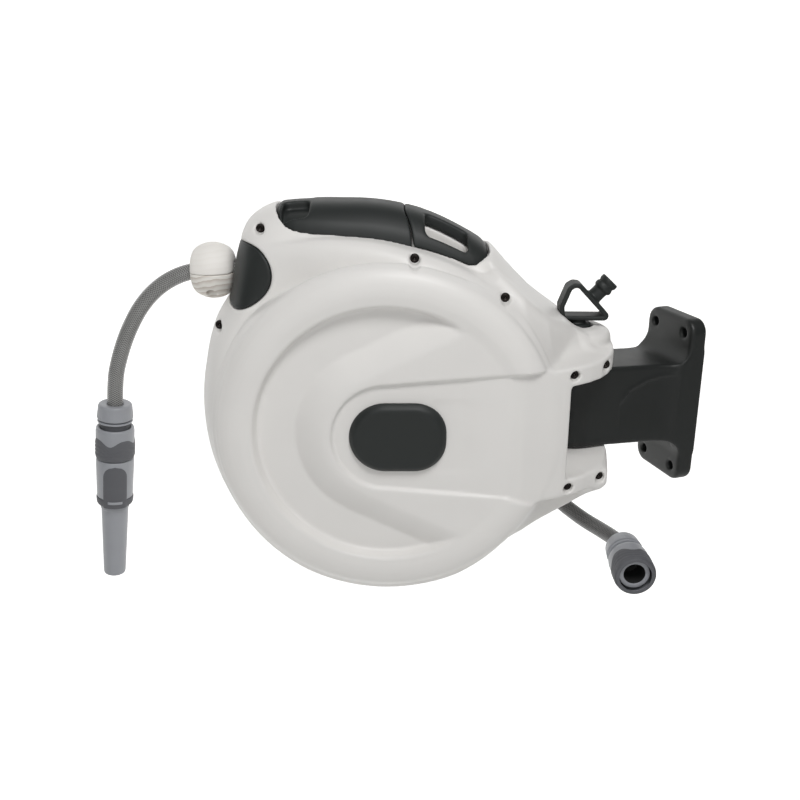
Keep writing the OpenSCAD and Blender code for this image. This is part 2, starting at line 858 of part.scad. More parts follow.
// Side outline of the grip, drawn well above the hump
module grip_region(half_w) {
    length = grip_left + grip_right;
    translate([0, 0, -half_w])
        linear_extrude(2 * half_w)
            polygon(concat(
                [for (s = grip_shares) [s[0] * length - grip_left, s[1] * casing_r]],
                [[grip_right, grip_over_share * casing_r], [-grip_left, grip_over_share * casing_r]]
            ));
}

module grip_room() {
    difference() {
        grip_region(grip_half_w);
        cylinder(r = grip_under_r, h = 2 * side_half_w, center = true);
    }
}

// Side outline of the outlet bezel
module bezel_region() {
    translate([bezel_back - bezel_x, outlet_up, -side_half_w - over])
        cylinder(r = bezel_r, h = 2 * (side_half_w + over));
}

// One half of the casing, before its screws
module half_casing() {
    difference() {
        union() {
            half_skin();
            difference() {
                union() {
                    disc();
                    fan();
                }
                translate([0, 0, side_half_w]) linear_extrude(rim_z) rear_side();
            }
            rear_block();
            keel();
            shoulder();
        }
        drum_space();
        nose_space();
        hinge_slot();
        hinge_bore();
        cap_seat_cut();
        grip_room();
        finger_room();
        bezel_region();
        screw_cuts();
    }
}

// Line on which the supply hose leaves the casing, with z outwards
module on_feed_exit() {
    along = inlet_route[1] - inlet_route[0];
    translate(inlet_route[0])
        rotate([0, acos(along[2] / norm(along)), atan2(along[1], along[0])]) children();
}
module feed_cut() {
    on_feed_exit() translate([0, 0, -2 * hose_d]) cylinder(d = feed_hole_d, h = 5 * hose_d);
}

module front_casing() {
    color(shell_colour)
        reel() half_casing();
}
module back_casing() {
    color(shell_colour)
        reel()
            difference() {
                other_side() half_casing();
                feed_cut();
            }
}

// Hub caps
module hub_cap() {
    translate([cap_shift, 0, pad_z - cap_seat]) {
        linear_extrude(cap_seat + cap_rise - cap_bevel) cap_outline(0);
        linear_extrude(cap_seat + cap_rise) cap_outline(-cap_bevel);
    }
}
module front_hub_cap() {
    color(dark_colour)
        reel() hub_cap();
}
module back_hub_cap() {
    color(dark_colour)
        reel() other_side() hub_cap();
}

// Dark grip on the hump: a cover with finger notches, and a handle with finger windows
module grip_body() {
    inside = [for (s = ring_shares) if (s * ridge_half_w < grip_half_w) s * ridge_half_w];
    levels = concat(inside, [saddle_half_w]);
    intersection() {
        skin_patch(grip_angles, grip_steps, both_ways(levels), grip_inner_share * casing_r);
        grip_room();
    }
}
module grip_cover() {
    color(dark_colour)
        reel()
            difference() {
                grip_body();
                translate([grip_seam_x, 0, -side_half_w]) cube([casing_r, 2 * casing_r, 2 * side_half_w]);
                for (side = [0, 1])
                    mirror([0, 0, side])
                        translate([notch_x, notch_floor_up, bar_half_w])
                            cube([notch_l, casing_r, notch_w]);
            }
}
module carry_handle() {
    color(dark_colour)
        reel()
            difference() {
                grip_body();
                translate([grip_seam_x + seat_gap - casing_r, 0, -side_half_w])
                    cube([casing_r, 2 * casing_r, 2 * side_half_w]);
                for (side = [0, 1])
                    mirror([0, 0, side])
                        translate([window_x, 0, bar_half_w]) cube([window_l, 2 * casing_r, window_w]);
            }
}

// Outlet bezel, shaped as the nose of the casing
module outlet_bezel() {
    levels = both_ways([for (s = ring_shares) s * ridge_half_w]);
    color(dark_colour)
        reel()
            difference() {
                intersection() {
                    skin_patch(nose_angles, nose_steps, levels, nose_inner_share * casing_r);
                    bezel_region();
                }
                cylinder(r = drum_clear_r, h = 2 * side_half_w, center = true);
                nose_space();
                on_outlet(nose_front_x + over) cylinder(d = throat_d, h = casing_r);
                on_outlet(-bezel_x) cylinder(d = ball_d + 2 * run_gap, h = casing_r);
            }
}

// Screws of the casing
module casing_screws() {
    color(steel_colour)
        reel()
            for (side = [0, 1])
                mirror([0, 0, side])
                    at_screws() {
                        cylinder(d = screw_head_d, h = screw_head_h);
                        translate([0, 0, over - screw_l]) cylinder(d = screw_d, h = screw_l);
                    }
}

// Guide rollers behind the outlet
module roller_frame() {
    length = nose_back_x - wall - nose_front_x;
    color(drum_colour)
        reel()
            difference() {
                translate([nose_front_x, outlet_up - frame_half, -frame_half])
                    cube([length, 2 * frame_half, 2 * frame_half]);
                translate([nose_front_x + frame_t, outlet_up - frame_inner, -frame_inner])
                    cube([length, 2 * frame_inner, 2 * frame_inner]);
                on_outlet(nose_front_x + frame_t + over) cylinder(d = throat_d, h = frame_t + 2 * over);
                roller_axes(2 * (frame_half + over))
                    cylinder(d = roller_pin_d + 2 * fit_gap, h = 2 * (frame_half + over));
            }
}
module flat_axis(side, l) {
    translate([roller_first_x, outlet_up + side * roller_gap, -l / 2]) children();
}
module upright_axis(side, l) {
    translate([roller_second_x, outlet_up - l / 2, side * roller_gap]) rotate([-90, 0, 0]) children();
}
module roller_axes(l) {
    for (side = [-1, 1]) {
        flat_axis(side, l) children();
        upright_axis(side, l) children();
    }
}
module roller() {
    pipe(roller_d, roller_pin_d + 2 * fit_gap, roller_l);
}
module roller_pins() {
    color(steel_colour)
        reel() roller_axes(2 * frame_half) cylinder(d = roller_pin_d, h = 2 * frame_half);
}
module roller_top() {
    color(grip_colour)
        reel() flat_axis(1, roller_l) roller();
}
module roller_bottom() {
    color(grip_colour)
        reel() flat_axis(-1, roller_l) roller();
}
module roller_front() {
    color(grip_colour)
        reel() upright_axis(1, roller_l) roller();
}
module roller_back() {
    color(grip_colour)
        reel() upright_axis(-1, roller_l) roller();
}

// Wall bracket: plate, arm and knuckle, hollow from below
module plate_holes(d, depth) {
    for (y = [-1, 1])
        for (z = [-1, 1])
            translate([-depth, y * hole_across / 2, z * hole_up / 2])
                rotate([0, 90, 0]) cylinder(d = d, h = depth + over);
}
module wall_bracket() {
    arm_h = arm_drop + arm_top;
    flare_w = plate_w / 2 - flare_side;
    hollow_w = (arm_w - 3 * bracket_rib_t) / 2;
    hollow_x = arm_w / 2 + bracket_rib_t;
    hollow_l = hinge_reach - hollow_x - bracket_rib_t;
    panel_l = hinge_reach - flare_l;
    color(dark_colour)
        difference() {
            union() {
                translate([-plate_t, 0, 0])
                    rotate([90, 0, 90]) linear_extrude(plate_t) rounded_plate(plate_w, plate_h, plate_corner);
                bracket_hinge() {
                    translate([0, 0, -arm_drop]) cylinder(d = arm_w, h = arm_h);
                    translate([0, 0, -knuckle_drop]) cylinder(d = bush_flange_d + 2 * wall, h = knuckle_drop);
                    translate([0, -arm_w / 2, -arm_drop]) cube([hinge_reach + over, arm_w, arm_h]);
                    translate([hinge_reach - flare_l, 0, -arm_drop])
                        linear_extrude(arm_h)
                            polygon([
                                [0, arm_w / 2], [flare_l + over, flare_w],
                                [flare_l + over, -flare_w], [0, -arm_w / 2]
                            ]);
                    translate([hinge_reach, gusset_w / 2, 0])
                        rotate([90, 0, 0])
                            linear_extrude(gusset_w)
                                polygon([
                                    [-flare_l, -arm_drop], [over, -arm_drop - gusset_up],
                                    [over, arm_top + gusset_up], [-flare_l, arm_top]
                                ]);
                }
            }
            plate_holes(hole_d, plate_t + over);
            translate([hole_head_depth - plate_t - over, 0, 0]) plate_holes(hole_head_d, hole_head_depth);
            bracket_hinge() {
                translate([0, 0, -knuckle_drop - over])
                    cylinder(d = pin_d + 2 * run_gap, h = knuckle_drop + arm_top + 2 * over);
                for (end = [0, 1])
                    translate([0, 0, end * (arm_top - bush_l + over) - (1 - end) * (knuckle_drop + over)])
                        cylinder(d = bush_d + 2 * fit_gap, h = bush_l + fit_gap);
                for (side = [0, 1])
                    mirror([0, side, 0])
                        translate([hollow_x, bracket_rib_t / 2, -arm_drop - gusset_up - over])
                            cube([hollow_l, hollow_w, arm_h + gusset_up - bracket_rib_t]);
                for (side = [-1, 1])
                    translate([0, side * (arm_w / 2 - panel_depth / 2), -arm_drop])
                        rotate([90, 0, 0])
                            linear_extrude(panel_depth, center = true)
                                polygon([for (s = panel_shares) [s[0] * panel_l, s[1] * arm_h]]);
            }
        }
}
module hinge_bushes() {
    color(steel_colour)
        bracket_hinge() {
            translate([0, 0, arm_top]) {
                pipe(bush_flange_d, pin_d + 2 * fit_gap, bush_flange_t);
                translate([0, 0, over - bush_l]) pipe(bush_d, pin_d + 2 * fit_gap, bush_l);
            }
            translate([0, 0, -knuckle_drop]) {
                translate([0, 0, -bush_flange_t]) pipe(bush_flange_d, pin_d + 2 * fit_gap, bush_flange_t);
                translate([0, 0, -over]) pipe(bush_d, pin_d + 2 * fit_gap, bush_l);
            }
        }
}

// Hinge pin with its pull loop and parking spigot
module pivot_pin() {
    left = [hinge_x - loop_left, loop_base_up];
    right = [hinge_x - loop_left + loop_w - loop_band, loop_base_up];
    apex = [left[0] + loop_apex, loop_base_up + loop_h];
    middle = (right + apex) / 2;
    slope = atan2(apex[1] - right[1], apex[0] - right[0]);
    color(dark_colour)
        reel() {
            on_hinge() {
                translate([0, 0, -pin_end]) cylinder(d = pin_d, h = pin_end + boss_top + collar_h);
                translate([0, 0, -pin_end - pin_lead])
                    cylinder(d1 = pin_d - 2 * pin_lead, d2 = pin_d, h = pin_lead);
                translate([0, 0, boss_top + fit_gap]) cylinder(d = collar_d, h = collar_h);
                translate([0, 0, boss_top + over]) cylinder(d = neck_pin_d, h = collar_h + loop_lift);
            }
            translate([0, 0, -loop_t / 2])
                linear_extrude(loop_t) {
                    bar(left, right, loop_band);
                    bar(left, apex, loop_band);
                    bar(right, apex, loop_band);
                }
            translate([middle[0], middle[1], 0])
                rotate([0, 0, slope])
                    rotate([90, 0, 0])
                        difference() {
                            cylinder(d = spigot_d, h = spigot_l);
                            translate([0, 0, spigot_l - 3 * spigot_groove_w])
                                pipe(spigot_d + 2 * over, spigot_groove_d, spigot_groove_w);
                        }
        }
}

// Axle with its water way, and the spring's arbor on it
module axle() {
    color(steel_colour)
        reel()
            difference() {
                union() {
                    translate([0, 0, -axle_end]) cylinder(d = axle_d, h = 2 * axle_end);
                    translate([0, 0, spring_z]) cylinder(r = arbor_r, h = spring_w);
                }
                translate([0, 0, elbow_z]) cylinder(d = water_d, h = water_out_z - elbow_z);
                translate([0, 0, elbow_z]) feed_turn() cylinder(d = water_d, h = axle_d);
                translate([0, 0, water_out_z]) rotate([90, 0, 0]) cylinder(d = water_d, h = axle_d);
            }
}
// Turns the z axis to the line of the inner supply hose
module feed_turn() {
    along = feed_route[1] - feed_route[0];
    rotate([0, 90, atan2(along[1], along[0])]) children();
}
module axle_seals() {
    color("#202020")
        reel()
            for (z = seal_z)
                translate([0, 0, z]) pipe(2 * bush_r, axle_d + 2 * fit_gap, seal_t);
}
module inlet_elbow() {
    reach = norm(feed_route[0] - [0, 0, elbow_z]);
    color(drum_colour)
        reel()
            difference() {
                union() {
                    translate([0, 0, elbow_z - elbow_h / 2]) cylinder(d = elbow_d, h = elbow_h);
                    translate([0, 0, elbow_z]) feed_turn() cylinder(d = elbow_spigot_d, h = reach);
                }
                translate([0, 0, elbow_z - elbow_h / 2 - over])
                    cylinder(d = axle_d + 2 * fit_gap, h = elbow_h + 2 * over);
                translate([0, 0, elbow_z]) feed_turn() cylinder(d = water_d, h = reach + over);
            }
}
module feed_hose() {
    color(hose_colour)
        reel() tube(feed_route, hose_d, [0, 0, 1]);
}
// Collar that holds the supply hose in the casing
module inlet_gland() {
    color(dark_colour)
        reel()
            on_feed_exit()
                translate([0, 0, gland_in]) pipe(feed_hole_d - 2 * fit_gap, hose_d + 2 * gland_gap, gland_l);
}

// Drum
module drum_core() {
    color(drum_colour)
        reel()
            difference() {
                union() {
                    translate([0, 0, -drum_half]) pipe(2 * core_r, 2 * (core_r - core_wall), drum_w);
                    translate([0, 0, web_z - web_t / 2]) cylinder(r = core_r - core_wall / 2, h = web_t);
                    translate([0, 0, -drum_half]) cylinder(r = hub_r, h = drum_half + web_z + web_t / 2);
                    translate([0, 0, water_out_z])
                        rotate([90, 0, 0]) cylinder(d = water_d + 2 * core_wall, h = core_r - core_wall / 2);
                }
                translate([0, 0, -drum_half - over])
                    cylinder(r = bush_r + fit_gap, h = drum_half + web_z + web_t / 2 + 2 * over);
                translate([0, 0, water_out_z]) rotate([90, 0, 0]) cylinder(d = water_d, h = core_r + over);
            }
}
module flange(hole_r) {
    difference() {
        union() {
            cylinder(r = flange_r, h = flange_t);
            for (k = [0 : flange_ribs - 1])
                rotate(360 * k / flange_ribs)
                    translate([core_r, -flange_rib_w / 2, 0])
                        cube([coil_r - core_r, flange_rib_w, flange_t + flange_rib_h]);
        }
        translate([0, 0, -over]) cylinder(r = hole_r, h = flange_t + flange_rib_h + 2 * over);
        translate([0, 0, flange_t])
            pipe(2 * (ratchet_r + seat_gap), 2 * (ratchet_in_r - seat_gap), flange_rib_h + over);
    }
}
module front_flange() {
    color(drum_colour)
        reel() translate([0, 0, drum_half]) flange(core_r - core_wall);
}
module back_flange() {
    color(drum_colour)
        reel() other_side() translate([0, 0, drum_half]) flange(hub_r);
}
module drum_bushes() {
    color(steel_colour)
        reel() {
            translate([0, 0, -drum_half]) pipe(2 * bush_r, axle_d + 2 * fit_gap, drum_bush_l);
            translate([0, 0, drum_half - cover_t]) pipe(2 * bush_r, axle_d + 2 * fit_gap, drum_bush_l);
        }
}
module hose_coil() {
    color(hose_colour)
        reel()
            translate([0, 0, -drum_half]) pipe(2 * coil_out_r, 2 * core_r, drum_w);
}

// Power spring in its case
module spring_case() {
    color(steel_colour)
        reel()
            translate([0, 0, case_floor])
                difference() {
                    cylinder(r = case_r, h = drum_half - cover_t - case_floor);
                    translate([0, 0, case_wall]) cylinder(r = case_inner_r, h = drum_w);
                    translate([0, 0, -over]) cylinder(r = arbor_r + run_gap, h = case_wall + 2 * over);
                }
}
function spiral_point(k, grow) =
    let (r = arbor_r + seat_gap + grow + spring_pitch * k / spring_steps, a = 360 * k / spring_steps)
        [r * cos(a), r * sin(a)];
module power_spring() {
    last = spring_turns * spring_steps;
    color("#6b7076")
        reel()
            translate([0, 0, spring_z])
                linear_extrude(spring_w)
                    polygon(concat(
                        [for (k = [0 : last]) spiral_point(k, 0)],
                        [for (k = [last : -1 : 0]) spiral_point(k, spring_t)]
                    ));
}
module spring_cover() {
    color(steel_colour)
        reel()
            translate([0, 0, drum_half - cover_t])
                difference() {
                    union() {
                        cylinder(r = case_r, h = cover_t);
                        cylinder(r = hub_r, h = drum_bush_l);
                    }
                    translate([0, 0, -over]) cylinder(r = bush_r + fit_gap, h = drum_bush_l + 2 * over);
                }
}

// Ratchet that holds the drum, and its pawl
module ratchet_ring() {
    step = 360 / ratchet_teeth;
    color(steel_colour)
        reel()
            translate([0, 0, ratchet_z])
                linear_extrude(ratchet_t)
                    difference() {
                        polygon([
                            for (k = [0 : ratchet_teeth - 1])
                                for (tip = [0, 1])
                                    let (r = ratchet_r - tip * tooth_depth, a = k * step)
                                        [r * cos(a), r * sin(a)]
                        ]);
                        circle(r = ratchet_in_r);
                    }
}
module on_pawl(z) {
    translate([pawl_x, pawl_up, z]) children();
}
module pawl() {
    color(steel_colour)
        reel()
            on_pawl(pawl_z)
                linear_extrude(pawl_t)
                    difference() {
                        union() {
                            circle(d = pawl_eye_d);
                            bar([0, 0], pawl_nose, pawl_w);
                            bar([0, 0], pawl_tail, pawl_w);
                        }
                        circle(d = pawl_post_d + 2 * fit_gap);
                    }
}
module pawl_post() {
    color(steel_colour)
        reel() on_pawl(pawl_z) cylinder(d = pawl_post_d, h = space_z - pawl_z - 2 * seat_gap);
}
module pawl_spring() {
    ring_r = pawl_post_d / 2 + fit_gap + pawl_spring_wire / 2;
    color("#6b7076")
        reel()
            on_pawl(pawl_z + pawl_t + fit_gap)
                for (k = [0 : pawl_spring_turns - 1])
                    translate([0, 0, (k + 1 / 2) * pawl_spring_wire])
                        rotate_extrude() translate([ring_r, 0]) square(pawl_spring_wire, center = true);
}

// Hose from the outlet to the hanging connector
module outlet_hose() {
    color(hose_colour)
        reel() tube(outlet_route, hose_d, [0, 0, 1]);
}
module ball() {
    difference() {
        sphere(d = ball_d);
        for (end = [-1, 1])
            translate([0, 0, end * (ball_l + ball_d) / 2]) cube(ball_d, center = true);
        translate([0, 0, -ball_d]) cylinder(d = throat_d, h = 2 * ball_d);
        cylinder(d1 = throat_d, d2 = ball_mouth_d, h = ball_l / 2 + fit_gap);
        at_ball_screws() {
            translate([0, 0, -ball_d]) cylinder(d = screw_seat_d, h = ball_d);
            translate([0, 0, -over]) cylinder(d = screw_d + 2 * fit_gap, h = ball_screw_l + over);
        }
    }
}
module at_ball_screws() {
    for (side = [-1, 1])
        translate([side * ball_screw_x, -ball_screw_floor, 0]) rotate([-90, 0, 0]) children();
}
module ball_half(side) {
    color(ball_colour)
        reel()
            on_outlet(-ball_x)
                intersection() {
                    ball();
                    translate([0, side * ball_d, 0]) cube(2 * ball_d, center = true);
                }
}
module ball_upper() {
    ball_half(1);
}
module ball_lower() {
    ball_half(-1);
}
module ball_screws() {
    color(steel_colour)
        reel()
            on_outlet(-ball_x)
                at_ball_screws() {
                    translate([0, 0, -screw_head_h]) cylinder(d = screw_head_d, h = screw_head_h);
                    translate([0, 0, -over]) cylinder(d = screw_d, h = ball_screw_l);
                }
}

// Connector parts, drawn from the top of the hose nut
module nut_shape() {
    difference() {
        cylinder(d = nut_d, h = nut_h);
        translate([0, 0, -over]) cylinder(d = hose_d + 2 * seat_gap, h = nut_h + 2 * over);
        for (k = [0 : nut_flutes - 1])
            rotate(360 * k / nut_flutes)
                translate([nut_d / 2, 0, wall]) cylinder(r = nut_flute, h = nut_h);
    }
}
module neck_shape() {
    difference() {
        union() {
            translate([0, 0, nut_h]) cylinder(d = flange_ring_d, h = flange_ring_h);
            translate([0, 0, nut_h]) cylinder(d = neck_d, h = sleeve_end - nut_h - seal_depth);
        }
        translate([0, 0, nut_h - over]) cylinder(d = tip_bore_d, h = sleeve_end);
        translate([0, 0, socket_z]) cylinder(d = socket_d, h = spigot_in_l + over);
        translate([0, 0, socket_z]) cylinder(d = socket_d + 2 * seal_groove, h = seal_t);
    }
}
module sleeve_shape() {
    outer = sleeve_d / 2;
    low = waist_share * sleeve_l;
    translate([0, 0, sleeve_start])
        rotate_extrude()
            polygon([
                [sleeve_wall_gap / 2, 0], [outer - waist, 0], [outer, waist], [outer, low - waist],
                [outer - waist, low], [outer - waist, low + waist], [outer, low + 2 * waist],
                [outer, sleeve_l - waist], [outer - waist, sleeve_l], [sleeve_wall_gap / 2, sleeve_l]
            ]);
}
module seal_shape() {
    translate([0, 0, socket_z]) pipe(socket_d + 2 * (seal_groove - fit_gap), tip_bore_d, seal_t);
}
module hose_nut() {
    color(nut_colour)
        reel() on_drop() nut_shape();
}
module connector_body() {
    color(grip_colour)
        reel() on_drop() neck_shape();
}
module release_sleeve() {
    color(grip_colour)
        reel() on_drop() sleeve_shape();
}
module connector_seal() {
    color("#202020")
        reel() on_drop() seal_shape();
}

// Nozzle
module nozzle_body() {
    color(nut_colour)
        reel()
            on_drop()
                difference() {
                    union() {
                        translate([0, 0, nozzle_start]) cylinder(d = nozzle_d, h = nozzle_l);
                        translate([0, 0, socket_z + seal_t + fit_gap])
                            cylinder(d = socket_d - 2 * fit_gap, h = spigot_in_l + seal_depth);
                    }
                    translate([0, 0, nut_h]) cylinder(d = tip_bore_d, h = nozzle_end);
                    translate([0, 0, nozzle_end - tip_hold_l])
                        cylinder(d = tip_d + 2 * fit_gap, h = tip_hold_l + over);
                    inlay_room();
                }
}
// Arch on the front of the nozzle's body
module inlay_room() {
    low = nozzle_end - base_ring_h;
    translate([0, nozzle_d / 2 + over, 0])
        rotate([90, 0, 0])
            linear_extrude(inlay_depth + over) {
                translate([0, low - inlay_l + inlay_w / 2]) circle(d = inlay_w);
                translate([-inlay_w / 2, low - inlay_l + inlay_w / 2])
                    square([inlay_w, inlay_l - inlay_w / 2]);
            }
}
module nozzle_inlay() {
    color(grip_colour)
        reel()
            on_drop()
                intersection() {
                    inlay_room();
                    translate([0, 0, nozzle_start]) cylinder(d = nozzle_d + inlay_t, h = nozzle_l);
                }
}
module nozzle_tip() {
    color(nut_colour)
        reel()
            on_drop()
                difference() {
                    union() {
                        translate([0, 0, nozzle_end - tip_hold_l + run_gap])
                            cylinder(d = tip_d, h = tip_hold_l);
                        translate([0, 0, nozzle_end]) cylinder(d1 = tip_d, d2 = tip_end_d, h = tip_l);
                    }
                    translate([0, 0, nozzle_end - tip_hold_l])
                        cylinder(d = tip_bore_d, h = tip_hold_l + tip_l + over);
                }
}

// Supply hose and its connector
module inlet_hose() {
    color(drum_colour)
        reel() tube(inlet_route, hose_d, [0, 1, 0]);
}
module inlet_nut() {
    color(nut_colour)
        reel() on_inlet() nut_shape();
}
module inlet_body() {
    color(grip_colour)
        reel() on_inlet() neck_shape();
}
module inlet_sleeve() {
    color(grip_colour)
        reel() on_inlet() sleeve_shape();
}
module inlet_seal() {
    color("#202020")
        reel() on_inlet() seal_shape();
}

wall_bracket();
hinge_bushes();
front_casing();
back_casing();
front_hub_cap();
back_hub_cap();
grip_cover();
carry_handle();
outlet_bezel();
casing_screws();
pivot_pin();
roller_frame();
roller_pins();
roller_top();
roller_bottom();
roller_front();
roller_back();
axle();
axle_seals();
inlet_elbow();
feed_hose();
inlet_gland();
drum_core();
front_flange();
back_flange();
drum_bushes();
hose_coil();
spring_case();
power_spring();
spring_cover();
ratchet_ring();
pawl();
pawl_post();
pawl_spring();
outlet_hose();
ball_upper();
ball_lower();
ball_screws();
hose_nut();
connector_body();
release_sleeve();
connector_seal();
nozzle_body();
nozzle_inlay();
nozzle_tip();
inlet_hose();
inlet_nut();
inlet_body();
inlet_sleeve();
inlet_seal();
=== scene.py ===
import math
import bpy
import bmesh
import numpy as np
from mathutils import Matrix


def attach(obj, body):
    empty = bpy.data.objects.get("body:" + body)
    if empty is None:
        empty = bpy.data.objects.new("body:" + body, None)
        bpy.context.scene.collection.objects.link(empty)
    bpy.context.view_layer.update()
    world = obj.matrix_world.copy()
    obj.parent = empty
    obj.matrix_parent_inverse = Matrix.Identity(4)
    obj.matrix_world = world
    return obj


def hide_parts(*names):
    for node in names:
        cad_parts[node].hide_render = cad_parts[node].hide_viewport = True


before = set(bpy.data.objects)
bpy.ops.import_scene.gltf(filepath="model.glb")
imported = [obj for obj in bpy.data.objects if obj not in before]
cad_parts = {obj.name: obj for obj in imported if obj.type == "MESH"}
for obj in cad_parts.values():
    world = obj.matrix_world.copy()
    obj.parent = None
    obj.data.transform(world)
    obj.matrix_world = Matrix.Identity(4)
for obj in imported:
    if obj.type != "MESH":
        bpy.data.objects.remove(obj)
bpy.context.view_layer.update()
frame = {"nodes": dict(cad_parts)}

import openvdb
from mathutils import Vector

print("frame loaded:", len(frame["nodes"]), "nodes")

# The reel hangs on a hinge in front of the wall plate, turned a little from square
hang = {"hingeX": 165.0, "reach": 112.0, "rise": 7.0, "turn": 18.75}


def toRow(points):  # reel millimetres (to the hinge, up, to the viewer) into the frame's metres
    p = np.asarray(points, float).reshape(-1, 3)
    c, s = math.cos(math.radians(hang["turn"])), -math.sin(math.radians(hang["turn"]))
    x, y = p[:, 0] - hang["hingeX"], -p[:, 2]
    return np.stack([-hang["reach"] + c * x - s * y, s * x + c * y, p[:, 1] + hang["rise"]], 1) / 1000


def fromWall(points):  # wall plate millimetres into the frame's metres
    return np.asarray(points, float).reshape(-1, 3) / 1000


def linear(code):  # sRGB hex to linear colour
    parts = [int(code[i:i + 2], 16) / 255 for i in (0, 2, 4)]
    return [p / 12.92 if p <= 0.04045 else ((p + 0.055) / 1.055) ** 2.4 for p in parts] + [1.0]


def addNode(mat, kind, values=None, links=None, **props):  # one node with its settings and links
    node = mat.node_tree.nodes.new(kind)
    for key, value in props.items():
        setattr(node, key, value)
    for key, value in (values or {}).items():
        node.inputs[key].default_value = value
    for key, source in (links or {}).items():
        mat.node_tree.links.new(source, node.inputs[key])
    return node


def newMaterial(name, roughness, ior=1.47, metallic=0.0):
    mat = bpy.data.materials.new(name)
    mat.use_nodes = True
    shader = mat.node_tree.nodes["Principled BSDF"]
    shader.inputs["Roughness"].default_value = roughness
    shader.inputs["Metallic"].default_value = metallic
    if not metallic:
        shader.inputs["IOR"].default_value = ior
    return mat, shader


# A moulded plastic: a slow drift of colour from the melt, and the fine spark texture of the mould
def mouldedPlastic(name, light, dark, roughness, driftMm, grainMm, grainDepthMm):
    mat, shader = newMaterial(name, roughness)
    place = addNode(mat, "ShaderNodeTexCoord")
    drift = addNode(mat, "ShaderNodeTexNoise", {"Scale": 1000 / driftMm, "Detail": 3.0},
                    {"Vector": place.outputs["Object"]})
    tint = addNode(mat, "ShaderNodeMix", {"A": linear(dark), "B": linear(light)}, data_type="RGBA",
                   links={0: drift.outputs["Fac"]})
    grain = addNode(mat, "ShaderNodeTexNoise", {"Scale": 1000 / grainMm, "Detail": 2.0},
                    {"Vector": place.outputs["Object"]})
    bump = addNode(mat, "ShaderNodeBump", {"Strength": 0.35, "Distance": grainDepthMm / 1000},
                   {"Height": grain.outputs["Fac"]})
    wear = addNode(mat, "ShaderNodeMapRange", {"To Min": roughness - 0.05, "To Max": roughness + 0.07},
                   {"Value": drift.outputs["Fac"]})
    mat.node_tree.links.new(tint.outputs["Result"], shader.inputs["Base Color"])
    mat.node_tree.links.new(wear.outputs["Result"], shader.inputs["Roughness"])
    mat.node_tree.links.new(bump.outputs["Normal"], shader.inputs["Normal"])
    return mat


# Polypropylene, injection moulded: warm white, satin, with soft wide highlights
shellPlastic = mouldedPlastic("polypropylene_moulded_white", "E7E5E2", "E1DFDC", 0.42, 45, 1.6, 0.05)
# Polypropylene, moulded in a textured tool: greenish black, with a grey sheen on its top faces
darkPlastic = mouldedPlastic("polypropylene_textured_black", "202423", "1C201F", 0.52, 30, 1.2, 0.06)
# Glass-filled nylon, moulded: near black and duller, with a coarser grain
bracketPlastic = mouldedPlastic("nylon_glass_filled_black", "181B1A", "141716", 0.47, 25, 1.8, 0.07)
# ABS, moulded: cool mid grey, smooth
greyPlastic = mouldedPlastic("abs_moulded_grey", "9C9EA3", "94969B", 0.36, 20, 1.0, 0.03)
# Soft-touch elastomer over the plastic: dark grey and matt
softGrip = mouldedPlastic("elastomer_overmoulded_grey", "606165", "58595D", 0.62, 12, 0.9, 0.06)
# Drum polypropylene, moulded: plain dark grey
drumPlastic = mouldedPlastic("polypropylene_moulded_grey", "4E5154", "474A4D", 0.55, 40, 2.0, 0.06)
# Acetal, turned: ivory and slippery
bushPlastic = mouldedPlastic("acetal_turned_ivory", "D2CFC2", "C9C6B9", 0.3, 15, 1.0, 0.02)
# Nitrile rubber, pressed: black and dull
sealRubber = mouldedPlastic("nitrile_pressed_black", "242424", "1D1D1D", 0.7, 10, 0.8, 0.04)


# Drawn metal: fine lines left by the tool, which stretch the highlight
def drawnMetal(name, light, dark, roughness, lineMm):
    mat, shader = newMaterial(name, roughness, metallic=1.0)
    place = addNode(mat, "ShaderNodeTexCoord")
    along = addNode(mat, "ShaderNodeMapping", {"Scale": (1.0, 1.0, 0.08)}, {"Vector": place.outputs["Object"]})
    lines = addNode(mat, "ShaderNodeTexNoise", {"Scale": 1000 / lineMm, "Detail": 4.0},
                    {"Vector": along.outputs["Vector"]})
    tint = addNode(mat, "ShaderNodeMix", {"A": linear(dark), "B": linear(light)}, data_type="RGBA",
                   links={0: lines.outputs["Fac"]})
    rough = addNode(mat, "ShaderNodeMapRange", {"To Min": roughness - 0.08, "To Max": roughness + 0.1},
                    {"Value": lines.outputs["Fac"]})
    mat.node_tree.links.new(tint.outputs["Result"], shader.inputs["Base Color"])
    mat.node_tree.links.new(rough.outputs["Result"], shader.inputs["Roughness"])
    return mat


# Steel, blackened in an oxide bath: near black with a brown cast
screwSteel = drawnMetal("steel_black_oxide_screw", "3A3634", "262322", 0.45, 0.6)
# Spring steel, cold rolled: blue grey, bright along its length
springSteel = drawnMetal("spring_steel_rolled", "8A8D90", "6C7073", 0.35, 0.8)
# Brass, turned: warm yellow with fine rings of light
axleBrass = drawnMetal("brass_turned", "C8A862", "AD8D4C", 0.3, 0.7)


